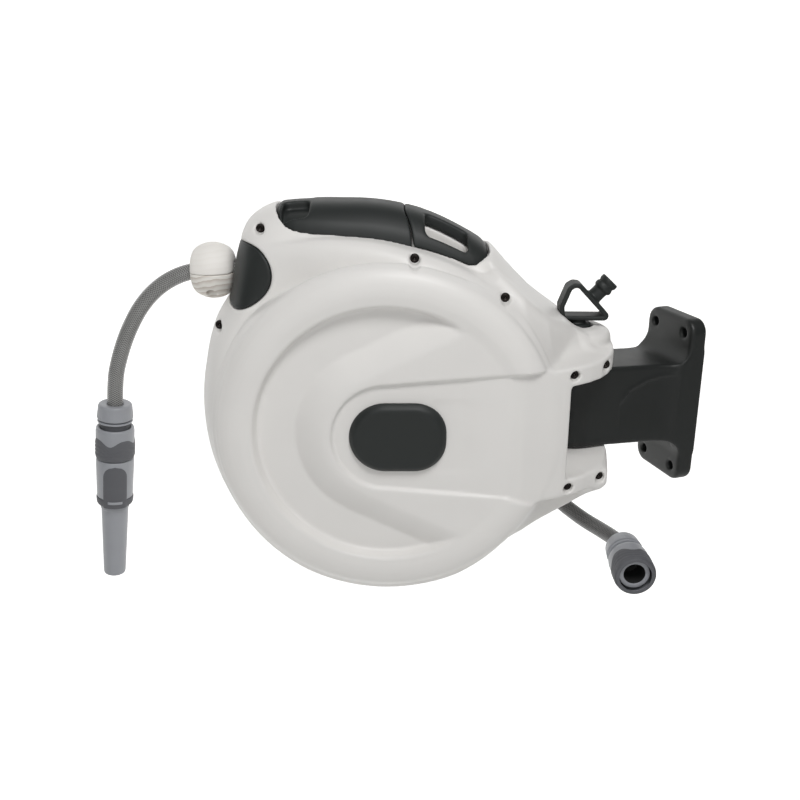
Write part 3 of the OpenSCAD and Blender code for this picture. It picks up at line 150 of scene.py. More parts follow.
# Braided garden hose: a grey yarn net under clear vinyl. The net is drawn 2 mm apart so that it shows
def braidedHose(name, yarn, gap, clearCoat, lineMm, turns):
    mat, shader = newMaterial(name, 0.38)
    uv = addNode(mat, "ShaderNodeUVMap", uv_map="run")
    split = addNode(mat, "ShaderNodeSeparateXYZ", links={0: uv.outputs["UV"]})
    run = addNode(mat, "ShaderNodeMath", {1: 1000 / lineMm}, {0: split.outputs["X"]}, operation="MULTIPLY")
    around = addNode(mat, "ShaderNodeMath", {1: float(turns)}, {0: split.outputs["Y"]}, operation="MULTIPLY")
    waves = []
    for operation in ("ADD", "SUBTRACT"):
        phase = addNode(mat, "ShaderNodeMath", links={0: run.outputs[0], 1: around.outputs[0]}, operation=operation)
        waves.append(addNode(mat, "ShaderNodeMath", {1: 0.5}, {0: phase.outputs[0]}, operation="PINGPONG"))
    strand = addNode(mat, "ShaderNodeMath", links={0: waves[0].outputs[0], 1: waves[1].outputs[0]},
                     operation="MAXIMUM")
    net = addNode(mat, "ShaderNodeMapRange", {"From Min": 0.28, "From Max": 0.46}, {"Value": strand.outputs[0]})
    place = addNode(mat, "ShaderNodeTexCoord")
    shadeMm = 9  # soft patches in the vinyl
    shade = addNode(mat, "ShaderNodeTexNoise", {"Scale": 1000 / shadeMm, "Detail": 2.0},
                    {"Vector": place.outputs["Object"]})
    worn = addNode(mat, "ShaderNodeMath", {1: 0.25}, {0: shade.outputs["Fac"]}, operation="MULTIPLY")
    share = addNode(mat, "ShaderNodeMath", links={0: net.outputs[0], 1: worn.outputs[0]}, operation="SUBTRACT",
                    use_clamp=True)
    tint = addNode(mat, "ShaderNodeMix", {"A": linear(gap), "B": linear(yarn)}, data_type="RGBA",
                   links={0: share.outputs[0]})
    bump = addNode(mat, "ShaderNodeBump", {"Strength": 0.5, "Distance": 0.0004}, {"Height": net.outputs[0]})
    shader.inputs["Coat Weight"].default_value = clearCoat
    shader.inputs["Coat Roughness"].default_value = 0.14
    mat.node_tree.links.new(tint.outputs["Result"], shader.inputs["Base Color"])
    mat.node_tree.links.new(bump.outputs["Normal"], shader.inputs["Normal"])
    return mat


# Clear vinyl over pale yarn: light grey and glossy
outletBraid = braidedHose("pvc_braided_clear_grey", "A6A6A4", "5C5C5B", 0.8, 2.0, 14)
# Smoked vinyl over the same yarn: dark grey, less gloss
inletBraid = braidedHose("pvc_braided_dark_grey", "6A6A69", "3A3A3A", 0.5, 2.0, 14)


# Beech, turned and limed: pale and dry, its growth rings faint warm lines, drawn 4.7 mm apart so that they show
def turnedBall(name, pale, ring, ringMm, share):
    mat, shader = newMaterial(name, 0.6)
    place = addNode(mat, "ShaderNodeTexCoord")
    lean = addNode(mat, "ShaderNodeMapping", {"Location": (0.42, 0.0, -0.06), "Rotation": (0.25, 0.5, 0.2)},
                   {"Vector": place.outputs["Object"]})
    waveMm = 1000 * math.tau / 20  # spacing of the wave texture at scale 1
    rings = addNode(mat, "ShaderNodeTexWave",
                    {"Scale": waveMm / ringMm, "Distortion": 3.0, "Detail": 2.0, "Detail Scale": 1.2},
                    {"Vector": lean.outputs["Vector"]},
                    wave_type="RINGS", rings_direction="SPHERICAL", wave_profile="SAW")
    thin = addNode(mat, "ShaderNodeMapRange", {"From Min": 0.35, "From Max": 1.0, "To Max": share},
                   {"Value": rings.outputs["Fac"]})
    tint = addNode(mat, "ShaderNodeMix", {"A": linear(pale), "B": linear(ring)}, data_type="RGBA",
                   links={0: thin.outputs[0]})
    bump = addNode(mat, "ShaderNodeBump", {"Strength": 0.08, "Distance": 0.0002}, {"Height": rings.outputs["Fac"]})
    mat.node_tree.links.new(tint.outputs["Result"], shader.inputs["Base Color"])
    mat.node_tree.links.new(bump.outputs["Normal"], shader.inputs["Normal"])
    return mat


# Both halves are the same beech: the upper half has faint rings, which is painted light, and the lower half has
# strong dark rings, which is real grain with painted shade
ballTop = turnedBall("beech_limed_top_painted_light", "F1EEE9", "E2DCD4", 4.7124, 0.18)
ballFoot = turnedBall("beech_limed_foot_grain_painted_shade", "EFECE6", "C9BEB4", 4.7124, 0.9)
print("materials made")


def addPiece(name, parts, materials, body, nodes=()):  # parts: points in metres, faces, material number
    points, faces, numbers, start = [], [], [], 0
    for partPoints, partFaces, number in parts:
        points.append(np.asarray(partPoints, float))
        faces += [tuple(int(i) + start for i in f) for f in partFaces]
        numbers += [number] * len(partFaces)
        start += len(partPoints)
    mesh = bpy.data.meshes.new(name)
    mesh.from_pydata(np.concatenate(points).tolist(), [], faces)
    mesh.polygons.foreach_set("use_smooth", [True] * len(faces))
    for mat in materials:
        mesh.materials.append(mat)
    mesh.polygons.foreach_set("material_index", numbers)
    mesh.update()
    piece = bpy.data.objects.new(name, mesh)
    bpy.context.scene.collection.objects.link(piece)
    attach(piece, body)
    if nodes:
        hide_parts(*nodes)
    return piece


# Soft joins between shapes that are given by their distance fields. The last value is the blend in millimetres
def joined(a, b, k):
    h = np.clip(0.5 + 0.5 * (b - a) / k, 0, 1)
    return b * (1 - h) + a * h - k * h * (1 - h)


def common(a, b, k):
    return -joined(-a, -b, k)


def cut(a, b, k):
    return common(a, -b, k)


def step(t):
    t = np.clip(t, 0, 1)
    return t * t * (3 - 2 * t)


def outline(points, x, y):  # signed distance to a closed outline
    best, inside = np.full(np.broadcast(x, y).shape, 1e9), np.zeros(np.broadcast(x, y).shape, bool)
    for (ax, ay), (bx, by) in zip(points, points[1:] + points[:1]):
        ex, ey = bx - ax, by - ay
        t = np.clip(((x - ax) * ex + (y - ay) * ey) / (ex * ex + ey * ey), 0, 1)
        best = np.minimum(best, (x - ax - ex * t) ** 2 + (y - ay - ey * t) ** 2)
        side = (ay > y) != (by > y)
        across = ax + (y - ay) * ex / (ey if ey else 1e-9)
        inside ^= side & (x < across)
    return np.sqrt(best) * np.where(inside, -1, 1)


def fieldMesh(field, low, high, size, soften=1):  # surface of a distance field, in its own millimetres
    axes = [np.arange(a, b + size, size, dtype=np.float32) for a, b in zip(low, high)]
    values = field(axes[0][:, None, None], axes[1][None, :, None], axes[2][None, None, :])
    band = 6 * size  # the field is cut off this far from the surface
    values = np.clip(values, -band, band).astype(np.float32)
    for axis in (0, 1, 2) * soften:
        middle = np.moveaxis(values, axis, 0)
        middle[1:-1] = middle[1:-1] / 2 + (middle[:-2] + middle[2:]) / 4
    for axis in (0, 1, 2):  # closed where it meets the border
        edge = np.moveaxis(values, axis, 0)
        edge[0] = np.maximum(edge[0], size)
        edge[-1] = np.maximum(edge[-1], size)
    grid = openvdb.FloatGrid(band)
    grid.copyFromArray(np.ascontiguousarray(values))
    points, quads = grid.convertToQuads(0.0)
    points = points.astype(float) * size + np.array(low)
    a, b, c = (points[quads[:, i]] for i in (0, 1, 2))
    if np.einsum("ij,ij->i", a, np.cross(b, c)).sum() < 0:
        quads = quads[:, ::-1]
    return points, quads


def addMoulding(name, field, box, size, material, node, body="reel"):  # a field on the reel, as one piece
    points, quads = fieldMesh(field, *box, size)
    return addPiece(name, [(toRow(points), quads, 0)], [material], body, [node])


def ringFaces(rings, count):  # quads between rings of points
    faces = []
    for i in range(rings - 1):
        for k in range(count):
            n = (k + 1) % count
            faces.append((i * count + k, i * count + n, (i + 1) * count + n, (i + 1) * count + k))
    return faces


def latheMesh(profile, count, ripple=None):  # profile: distance along the axis, radius
    turn = np.arange(count) * 2 * np.pi / count
    points = []
    for along, radius in profile:
        r = radius + (ripple(turn, along) if ripple else 0 * turn)
        points.append(np.stack([r * np.cos(turn), r * np.sin(turn), np.full(count, float(along))], 1))
    return np.concatenate(points), ringFaces(len(profile), count)


def rounded(profile, radius, steps=4):  # rounds the corners of a lathe profile
    out = [profile[0]]
    for before, corner, after in zip(profile, profile[1:], profile[2:]):
        p, q, r = (np.array(v, float) for v in (before, corner, after))
        a, b = min(radius, np.linalg.norm(p - q) / 2.2), min(radius, np.linalg.norm(r - q) / 2.2)
        s, e = q + (p - q) / np.linalg.norm(p - q) * a, q + (r - q) / np.linalg.norm(r - q) * b
        for t in np.linspace(0, 1, steps + 1):
            out.append(tuple((1 - t) ** 2 * s + 2 * t * (1 - t) * q + t * t * e))
    return out + [profile[-1]]


# Camera at the photograph's place
view = {"place": (-0.5135, -0.7034, 0.2913), "ahead": (0.3023, 0.8907, -0.3396), "lens": 42.22}
camera = bpy.data.objects.new("camera", bpy.data.cameras.new("camera"))
bpy.context.scene.collection.objects.link(camera)
camera.location = view["place"]
camera.rotation_euler = Vector(view["ahead"]).to_track_quat("-Z", "Y").to_euler()
camera.data.lens, camera.data.sensor_width = view["lens"], 36.0
camera.data.clip_start, camera.data.clip_end = 0.01, 100.0
bpy.context.scene.camera = camera


# Hoses: the outlet hose hangs from the stopper ball, the supply hose leaves under the lower hinge lobe
hoses = {
    "diameter": 14.0, "sides": 40, "between": 6, "seam": (0.31, 0.2, 0.93),
    "outlet": [(-86, 116, 0), (-104, 116, 0), (-122, 116, 0), (-138, 116, 0), (-150, 116, 0), (-162, 115.5, 0),
               (-174, 113, 0), (-186, 108, 0), (-197, 101, 0), (-207, 92, 0), (-216, 81, 0), (-224, 68, 0),
               (-231, 54, 0), (-237, 39, 0), (-242, 23, 0), (-244.7, 7, 0), (-246, -5.5, 0),
               (-247.83, -22.9, 0), (-248.82, -32.35, 0)],
    "inlet": [(128, -81, -50), (138, -92, -40), (149, -101, -27), (161, -108, -13), (172.5, -113, 1.5),
              (183, -116, 15.5), (193, -117.5, 29), (202, -117.5, 46), (206, -117, 62), (206, -117, 79.5)],
    "feed": [(22, -13, -66), (36, -21, -66), (50, -29, -66), (64, -37, -66), (78, -45, -66), (91, -52.5, -66),
             (103, -60, -65), (112, -66, -62.5), (120.5, -72.75, -57.5), (128, -81, -50)],
}


def smoothRoute(route, between):  # Catmull-Rom curve through the points
    p = np.array([route[0], *route, route[-1]], float)
    out = []
    for i in range(1, len(p) - 2):
        for t in np.arange(between) / between:
            a, b, c, d = p[i - 1:i + 3]
            out.append(0.5 * (2 * b + (c - a) * t + (2 * a - 5 * b + 4 * c - d) * t * t
                              + (3 * b - a - 3 * c + d) * t ** 3))
    return np.array(out + [p[-2]])


def hoseTube(name, route, material, node):
    path, sides = smoothRoute(hoses[route], hoses["between"]), hoses["sides"]
    along = np.gradient(path, axis=0)
    along /= np.linalg.norm(along, axis=1)[:, None]
    across = np.cross(along[0], hoses["seam"])
    points, run = [], np.concatenate([[0], np.cumsum(np.linalg.norm(np.diff(path, axis=0), axis=1))])
    turn = np.arange(sides) * 2 * np.pi / sides
    for place, ahead in zip(path, along):
        across = across - ahead * (across @ ahead)
        across /= np.linalg.norm(across)
        up = np.cross(ahead, across)
        ring = np.cos(turn)[:, None] * across + np.sin(turn)[:, None] * up
        points.append(place + ring * hoses["diameter"] / 2)
    faces = ringFaces(len(path), sides)
    faces += [tuple(range(sides))[::-1], tuple((len(path) - 1) * sides + k for k in range(sides))]
    piece = addPiece(name, [(toRow(np.concatenate(points)), faces, 0)], [material], "reel", [node])
    layer = piece.data.uv_layers.new(name="run")
    for face in piece.data.polygons:
        for loop, corner in zip(face.loop_indices, face.vertices):
            ring, side = divmod(corner, sides)
            if side == 0 and any(v % sides == sides - 1 for v in face.vertices):
                side = sides
            layer.data[loop].uv = (run[ring] / 1000, side / sides)
    return piece, toRow(path), run[-1] / 1000


outletHose, outletPath, outletLength = hoseTube("outlet_hose_braided", "outlet", outletBraid, "outlet_hose")
inletHose, inletPath, inletLength = hoseTube("supply_hose_braided", "inlet", inletBraid, "inlet_hose")
hoseTube("inner_supply_hose", "feed", inletBraid, "feed_hose")
print("hoses laid:", round(outletLength, 3), round(inletLength, 3))

# Casing: a drum-shaped skin with a humped nose, a raised disc on each side and hinge lobes at the rear
casing = {
    "box": ((-172, -168, -5), (202, 176, 106)), "voxel": 1.25, "seamHalf": 0.15, "lipShare": 0.975,
    "radius": 161.0, "ridge": 79.0, "saddle": 45.5, "side": 86.0, "sideRound": 9.0,
    "levelPower": 14, "flankPower": 2.2, "humpPower": 3.4, "skinSteepest": 5.0,
    "base": [(-180, 0.89), (-150, 0.895), (-118, 0.914), (-66, 0.914), (-46, 0.89), (46, 0.888), (80, 0.835),
             (120, 0.835), (140, 0.888), (180, 0.89)],
    "crest": [(-180, 1), (30, 0.98), (42, 0.955), (49, 0.965), (59, 1.012), (65, 1.02), (71, 1.032), (79, 1.054),
              (86, 1.07), (95, 1.096), (102, 1.118), (109, 1.157), (119, 1.229), (124, 1.24), (126, 1.236),
              (129, 1.2), (131, 1.172), (134, 1.138), (138, 1.085), (143, 1.03), (147, 1.034), (150, 1.038),
              (154, 1.032), (164, 1.009), (180, 1)],
    "shelf": [(-180, 0.888), (70, 0.888), (81, 0.899), (89, 0.92), (101, 0.96), (113, 1.02), (121, 1.06),
              (126, 1.05), (131, 1.02), (137, 0.96), (143, 0.92), (157, 0.895), (180, 0.888)],
    "width": [(-180, 1), (50, 1), (66, 0.97), (78, 0.93), (92, 0.88), (106, 0.83), (113, 0.8), (121, 0.75),
              (128, 0.73), (135, 0.73), (145, 0.8), (160, 1), (180, 1)],
    "hump": [(-180, 0), (38, 0), (56, 1), (118, 1), (129, 0), (180, 0)],
    "disc": 139.0, "discRoot": 79.0, "discSteepest": 4.0, "rim": 15.0, "plateau": 99.6,
    "rimCurve": [(0, 0), (0.02, 0.24), (0.06, 0.42), (0.13, 0.6), (0.24, 0.78), (0.38, 0.91), (0.55, 0.985),
                 (0.72, 1)],
    "recess": 108.0, "recessLip": 1.0, "recessRound": 5.0, "floor": 90.0,
    "fanRadius": 70.0, "fanAngle": 26.0, "fanRamp": 20.0, "fanFoot": 4.0, "fanPower": 1.35,
    "padRadius": 44.0, "padEdge": 1.9,
    "channel": {"depth": 2.6, "start": 34.0, "startFade": 6.0, "end": 80.0, "endFade": 24.0, "half": 34.0,
                "halfFade": 9.0},
    "padSide": [(0, 44), (100, 52.5), (120, 53), (197, 54), (197, -61), (120, -61), (100, -52.5), (0, -44)],
    "padPlan": [(-60, -5), (-60, 95.6), (60, 95.6), (84, 96.6), (98, 97), (110, 95.2), (122, 91), (134, 87),
                (145, 83), (156, 77.5), (167, 70), (177, 60.5), (185, 49), (191, 36), (195, 21), (196, 0), (196, -5)],
    "overPlan": [(-60, 60), (-60, 130), (200, 130), (200, 60)],
    "shoulderSide": [(84, 129), (114, 101.5), (124.5, 91), (137, 84), (148, 79), (158, 73), (170, 66), (170, 30),
                     (80, 30)],
    "shoulderPlan": [(75, -9), (75, 30), (92, 56), (110, 68), (128.8, 60), (148, 44), (160, 33), (170, 29),
                     (170, -9)],
    "shoulderRound": 7.0, "shoulderJoin": 20.0,
    "boss": [(32.6, 34), (32.6, 51), (30, 52.4), (29.8, 60), (28, 64), (22, 67), (14, 68.2)],
    "bossSkin": 0.4, "pinRoom": 13.7, "pinFloor": 65.0,
    "keelSide": [(100, -112), (118, -106), (190, -61), (190, -49), (100, -49)], "keelHalf": 56.0, "keelRound": 8.0,
    "keelJoin": 12.0,
    "slot": {"turn": 75.0, "radius": 30.6, "half": 31.0, "spread": 0.06, "front": 150.0, "top": 37.0, "floor": -39.5,
             "drop": 5.5, "dropFrom": 34.0, "dropOver": 36.0},
    "screws": [(-102.7, 156.5), (-140.2, 76.8), (22.4, 138.5), (94.2, 108.5), (152, 45.5), (183, 45.5),
               (152, -53.5), (183, -53.5)],
    "wellRadius": 4.3, "wellDepth": 6.5, "wellEdge": 1.2, "seatEdge": 0.8,
}
grip = {"seam": (14.5, 7.0, 15.0, 32.0), "deep": 14.0, "barDeep": 4.0, "spineDeep": 10.0, "edge": 6.0,
        "sink": 0.2, "gap": 0.35, "under": 0.4, "seatLow": 60.0, "fingerRoom": 2.0, "fingerFloor": 137.0,
        "voxel": 0.9,
        "plan": [(-92, 0), (-91.4, 12), (-90, 23), (-87, 31.5), (-82, 37), (-75, 40), (-65, 41.8), (-50, 43),
                 (-30, 43.6), (-5, 43.8), (20, 43.6), (45, 43.2), (62, 42.8), (72, 41.6), (79, 38.5), (83, 33),
                 (85, 24), (85.5, 0)],
        "window": (31.5, 66.0, 13.0, 36.5), "notch": (-85.0, -63.0, 9.0, 33.5, 8.0)}
bezel = {"upper": (-115.0, 122.5, 23.0), "lower": (-125.0, 113.0, 19.0), "half": 62.0, "blend": 10.0, "round": 6.0,
         "sink": 0.2, "gap": 0.35, "deep": 16.0, "ballRoom": 1.2, "hoseRoom": 7.6,
         "box": ((-153, 84, -82), (-90, 148, 82)), "voxel": 0.95}
ball = {"x": -149.0, "up": 116.0, "diameter": 48.0, "length": 37.0, "bore": 7.2, "screwAt": (-15, 15),
        "screwRoom": 4.2, "screwTop": 10.0, "halfGap": 0.1, "box": ((-170, 90, -26), (-128, 142, 26)), "voxel": 0.6}


def byAngle(table, angle, spread=2.0):  # a table of shares by angle, with its corners smoothed
    pace, count = 0.5, 720
    degrees = np.arange(-180, 180, pace)
    flat = np.interp(degrees, *np.array(table, float).T)
    offset = np.minimum(np.arange(count), count - np.arange(count)) * pace
    weight = np.exp(-0.5 * (offset / spread) ** 2)
    flat = np.real(np.fft.ifft(np.fft.fft(flat) * np.fft.fft(weight / weight.sum())))
    return np.interp(angle, np.append(degrees, 180), np.append(flat, flat[0]))


def skinField(x, u, z):  # the casing's outer skin: a level, a flank and a hump round the drum
    c, w = casing, np.abs(z)
    rho, angle = np.hypot(x, u), np.degrees(np.arctan2(u, x))
    crest, shelf, width, hump, base = (byAngle(c[key], angle) for key in ("crest", "shelf", "width", "hump", "base"))
    t = np.minimum(1, w / (c["ridge"] * width))
    h = np.minimum(1, w / c["saddle"])
    level = base + (shelf - base) * (1 - t ** c["levelPower"])
    flank, top = 1 - t ** c["flankPower"], 1 - h ** c["humpPower"]
    radius = c["radius"] * (level + (crest - shelf) * (flank * (1 - hump) + top * hump))
    slope = np.gradient(radius, axis=2) / float(z[0, 0, 1] - z[0, 0, 0])
    return (rho - radius) / np.sqrt(1 + np.clip(slope, -c["skinSteepest"], c["skinSteepest"]) ** 2)


def gripPlan(x, w):  # outline of the dark grip from above, closed well below the middle line
    return outline(grip["plan"] + [(85.5, -20), (-92, -20)], x, w)


def gripSeam(w):  # where the cover ends and the handle starts
    start, bend, first, over = grip["seam"]
    return start + bend * step((w - first) / over)


def handleDeep(w):  # the handle is deeper along its spine than at its edges
    return np.where(w < grip["window"][2] + 1, grip["spineDeep"], grip["barDeep"])


def bezelRoom(x, u, z):  # seat of the outlet bezel across the nose
    rounds = [np.hypot(x - bx, u - bu) - radius for bx, bu, radius in (bezel["upper"], bezel["lower"])]
    return common(joined(*rounds, bezel["blend"]) + 0 * z, np.abs(z) - bezel["half"], bezel["round"])


wellFloors = []  # height of each screw well's floor, found on the finished skin


def casingField(x, u, z):
    c, w = casing, np.abs(z)
    rho = np.hypot(x, u)
    size = float(x[1, 0, 0] - x[0, 0, 0])
    skin = skinField(x, u, z)
    body = common(skin, w - c["side"], c["sideRound"])
    body = cut(body, bezelRoom(x, u, z), c["seatEdge"])
    # disc: rounded rim, a plateau flush with it, and the crescent sunk between the rim and the fan
    inward = (c["disc"] - rho) / (c["disc"] - c["recess"])
    rim = np.interp(inward, *np.array(c["rimCurve"] + [(1, (c["plateau"] - c["side"]) / c["rim"])]).T)
    a = math.radians(c["fanAngle"])
    fan = np.where(x * math.cos(a) + np.abs(u) * math.sin(a) < 0, rho,
                   np.abs(u) * math.cos(a) - x * math.sin(a)) - c["fanRadius"]
    ramp = np.clip((fan + c["fanRamp"]) / (c["fanRamp"] + c["fanFoot"]), 0, 1) ** c["fanPower"]
    sunk = step((c["recess"] + c["recessLip"] - rho) / c["recessRound"]) * ramp
    top = c["side"] + rim * c["rim"] - (c["plateau"] - c["floor"]) * sunk
    # arm pad: a shallow channel round the cap, which rises clear of the rim towards the hinge
    side = np.minimum(outline(c["padSide"], x, u), rho - c["padRadius"])
    planX, planZ = np.array(c["padPlan"][1:-2]).T
    pad, dip = np.interp(x, planX, planZ), c["channel"]
    pad = pad - (dip["depth"] * step((dip["end"] - x) / dip["endFade"]) * step((x - dip["start"]) / dip["startFade"])
                 * step((dip["half"] - np.abs(u)) / dip["halfFade"]))
    top = top + (pad - top) * step(0.5 - side / c["padEdge"])
    gx, gu = (np.clip(g, -c["discSteepest"], c["discSteepest"]) for g in np.gradient(top[:, :, 0], size))
    disc = (w - top) / np.sqrt(1 + gx ** 2 + gu ** 2)[:, :, None]
    disc = common(common(disc, rho - c["disc"], 1.0), c["discRoot"] - w, 2)
    over = common(side, outline(c["overPlan"], x, w), 1)
    body = joined(body, disc, 3.5)
    body = cut(body, np.maximum(over, pad - w), c["seatEdge"])
    lobes = common(side, outline(c["padPlan"], x, w), 3.2)
    body = joined(body, lobes, 3)
    # shoulder from the crest to the hinge boss, the boss, and the keel under the lower lobe
    shoulder = common(outline(c["shoulderSide"], x, u), outline(c["shoulderPlan"], x, w), c["shoulderRound"])
    body = joined(body, shoulder, c["shoulderJoin"])
    hinge = np.hypot(x - hang["hingeX"], w)
    boss = outline(c["boss"] + [(-r, h) for r, h in c["boss"][::-1]], hinge, u) + 0 * z
    body = joined(body, boss - c["bossSkin"], 3)
    body = cut(body, np.maximum(hinge - c["pinRoom"], c["pinFloor"] - u), 0.6)
    keel = common(outline(c["keelSide"], x, u), w - c["keelHalf"], c["keelRound"])
    body = joined(body, keel, c["keelJoin"])
    # hinge slot, and the wedge in which the bracket's arm swings
    s, fromHinge = c["slot"], x - hang["hingeX"]
    turn = math.radians(s["turn"])
    ahead = fromHinge * math.cos(turn) + w * math.sin(turn)
    across = -fromHinge * math.sin(turn) + w * math.cos(turn)
    wedge = np.maximum(np.abs(across) - s["half"] - s["spread"] * np.maximum(ahead, 0), -ahead)
    swing = np.minimum(hinge - s["radius"], wedge)
    slotFloor = s["floor"] - s["drop"] * step((hinge - s["dropFrom"]) / s["dropOver"])
    slot = common(np.minimum(s["front"] - x, swing), np.maximum(u - s["top"], slotFloor - u), 3)
    body = cut(body, slot, 2.5)
    # seat of the dark grip, and the finger room under the windows
    deep = np.where(x < gripSeam(w), grip["deep"], handleDeep(w) + grip["under"])
    room = np.maximum(np.maximum(gripPlan(x, w) + 0 * u, -skin - deep), grip["seatLow"] - u)
    body = cut(body, room, c["seatEdge"])
    (first, last, inner, outer), spare = grip["window"], grip["fingerRoom"]
    below = np.maximum(np.maximum(w - outer - spare, inner - w), grip["fingerFloor"] - rho)
    fingers = common(np.maximum(first - spare - x, x - last - spare), below, 4)
    body = cut(body, fingers, 1.5)
    for sx, su in c["screws"]:
        column = body[np.abs(x[:, 0, 0] - sx).argmin(), np.abs(u[0, :, 0] - su).argmin()]
        wellFloors.append(float(z[0, 0, np.flatnonzero(column < 0).max()]) - c["wellDepth"])
        well = np.maximum(np.hypot(x - sx, u - su) - c["wellRadius"], wellFloors[-1] - w)
        body = cut(body, well, c["wellEdge"])
    return body


# One half is cut at the seam, given a lip that turns inwards, and mirrored for the other
points, quads = fieldMesh(casingField, *casing["box"], casing["voxel"])
shell = bmesh.new()
for p in points:
    shell.verts.new(p)
shell.verts.ensure_lookup_table()
for q in quads:
    shell.faces.new([shell.verts[i] for i in q])
everything = list(shell.verts) + list(shell.edges) + list(shell.faces)
bmesh.ops.bisect_plane(shell, geom=everything, plane_co=(0, 0, casing["seamHalf"]), plane_no=(0, 0, 1),
                       clear_inner=True)
rimEdges = [e for e in shell.edges if e.is_boundary]
lip = bmesh.ops.extrude_edge_only(shell, edges=rimEdges)["geom"]
for v in (g for g in lip if isinstance(g, bmesh.types.BMVert)):
    v.co.x, v.co.y = v.co.x * casing["lipShare"], v.co.y * casing["lipShare"]
shell.verts.index_update()
points = np.array([v.co for v in shell.verts])
faces = [[v.index for v in f.verts] for f in shell.faces]
shell.free()
addPiece("casing_front_shell", [(toRow(points), faces, 0)], [shellPlastic], "reel", ["front_casing"])
addPiece("casing_back_shell", [(toRow(points * (1, 1, -1)), [f[::-1] for f in faces], 0)], [shellPlastic], "reel",
         ["back_casing"])
print("casing shells:", len(points), "points each, wells", [round(level) for level in wellFloors])

# Casing screws: a domed head with a round socket at the bottom of each well
screw = {"head": [(-9, 1.6), (0, 1.7), (0, 3.8), (0.9, 3.7), (1.7, 3.0), (2.0, 1.8), (1.0, 1.5), (0.9, 0.2)],
         "sides": 24}
parts = []
points, faces = latheMesh(screw["head"], screw["sides"])
for (sx, su), level in zip(casing["screws"], wellFloors):
    for side in (1, -1):
        place = points * (1, 1, side) + (sx, su, side * level)
        parts.append((toRow(place), faces if side > 0 else [f[::-1] for f in faces], 0))
addPiece("casing_screws_domed", parts, [screwSteel], "reel", ["casing_screws"])


# Dark grip on the hump: a long cover with finger notches, and the handle with two finger windows
def gripField(skin, x, w, deep):
    body = common(skin + grip["sink"], gripPlan(x, w) + grip["gap"] + 0 * skin, grip["edge"])
    return common(body, -skin - deep, 1)


def coverField(x, u, z):
    w, skin = np.abs(z), skinField(x, u, z)
    first, last, inner, outer, deep = grip["notch"]
    notch = common(common(np.maximum(first - x, x - last), np.maximum(inner - w, w - outer), 6), -skin - deep, 2)
    body = cut(gripField(skin, x, w, grip["deep"] - grip["under"]), notch, 2)
    return common(body, x - gripSeam(w) + grip["gap"], 1.2)


def handleField(x, u, z):
    w, skin = np.abs(z), skinField(x, u, z)
    first, last, inner, outer = grip["window"]
    window = common(np.maximum(first - x, x - last), np.maximum(inner - w, w - outer), 5)
    body = cut(gripField(skin, x, w, handleDeep(w)), window, 2.5)
    return common(body, gripSeam(w) + grip["gap"] - x, 1.2)


addMoulding("grip_cover_moulded", coverField, ((-96, 132, -52), (26, 184, 52)), grip["voxel"], darkPlastic,
            "grip_cover")
addMoulding("carry_handle_moulded", handleField, ((10, 112, -52), (92, 182, 52)), grip["voxel"], darkPlastic,
            "carry_handle")
print("grip made")


# Outlet bezel: a dark saddle let into the nose, hollowed for the stopper ball
def bezelField(x, u, z):
    skin = skinField(x, u, z)
    body = common(skin + bezel["sink"], bezelRoom(x, u, z) + bezel["gap"], 1.2)
    body = common(body, -skin - bezel["deep"], 1)
    gap = np.sqrt((x - ball["x"]) ** 2 + (u - ball["up"]) ** 2 + z ** 2) - ball["diameter"] / 2 - bezel["ballRoom"]
    body = cut(body, gap, 3)
    return cut(body, np.hypot(u - ball["up"], z) - bezel["hoseRoom"], 1.5)


addMoulding("outlet_bezel_moulded", bezelField, bezel["box"], bezel["voxel"], darkPlastic, "outlet_bezel")

# Hub caps: an oval cover, rounder at the outlet end, with a broad rounded edge
cap = {"arcs": [(-1.0, 0.0, 29.5, 90, 270, 25), (22.5, -3.5, 26.0, -90, 0, 13), (22.5, 3.5, 26.0, 0, 90, 13)],
       "top": 102.2, "crown": 0.5, "crownReach": 29.0, "bevel": 4.2, "sink": 0.2, "foot": 92.0,
       "box": ((-34, -33, 90), (52, 33, 106)), "voxel": 0.7}
capOutline = [(cx + radius * math.cos(t), cu + radius * math.sin(t))
              for cx, cu, radius, start, end, count in cap["arcs"]
              for t in np.linspace(math.radians(start), math.radians(end), count)]


def capField(x, u, z):
    flat = outline(capOutline, x, u)
    crown = cap["top"] + cap["crown"] * (1 - np.clip(1 + flat / cap["crownReach"], 0, 1) ** 2)
    bevel = (flat + z - crown + cap["bevel"]) * math.sqrt(0.5)
    return common(common(common(flat + cap["sink"], z - crown, 1), bevel, 1.4), cap["foot"] - z, 1)


points, quads = fieldMesh(capField, *cap["box"], cap["voxel"])
addPiece("hub_cap_front", [(toRow(points), quads, 0)], [darkPlastic], "reel", ["front_hub_cap"])
addPiece("hub_cap_back", [(toRow(points * (1, 1, -1)), quads[:, ::-1], 0)], [darkPlastic], "reel", ["back_hub_cap"])


# Stopper ball in two halves, clamped on the hose by two screws from below
def ballHalf(side):
    def field(x, u, z):
        dx, du = x - ball["x"], u - ball["up"]
        body = np.sqrt(dx ** 2 + du ** 2 + z ** 2) - ball["diameter"] / 2
        body = common(body, np.abs(dx) - ball["length"] / 2, 5)
        body = cut(body, np.hypot(du, z) - ball["bore"], 1)
        for place in ball["screwAt"]:
            body = cut(body, np.maximum(np.hypot(dx, z - place) - ball["screwRoom"], du + ball["screwTop"]), 0.8)
        return common(body, ball["halfGap"] - side * du, 0.3)
    return field


for name, side, wood, node in (("stopper_ball_upper", 1, ballTop, "ball_upper"),
                               ("stopper_ball_lower", -1, ballFoot, "ball_lower")):
    addMoulding(name, ballHalf(side), ball["box"], ball["voxel"], wood, node)
print("bezel, caps and ball made")

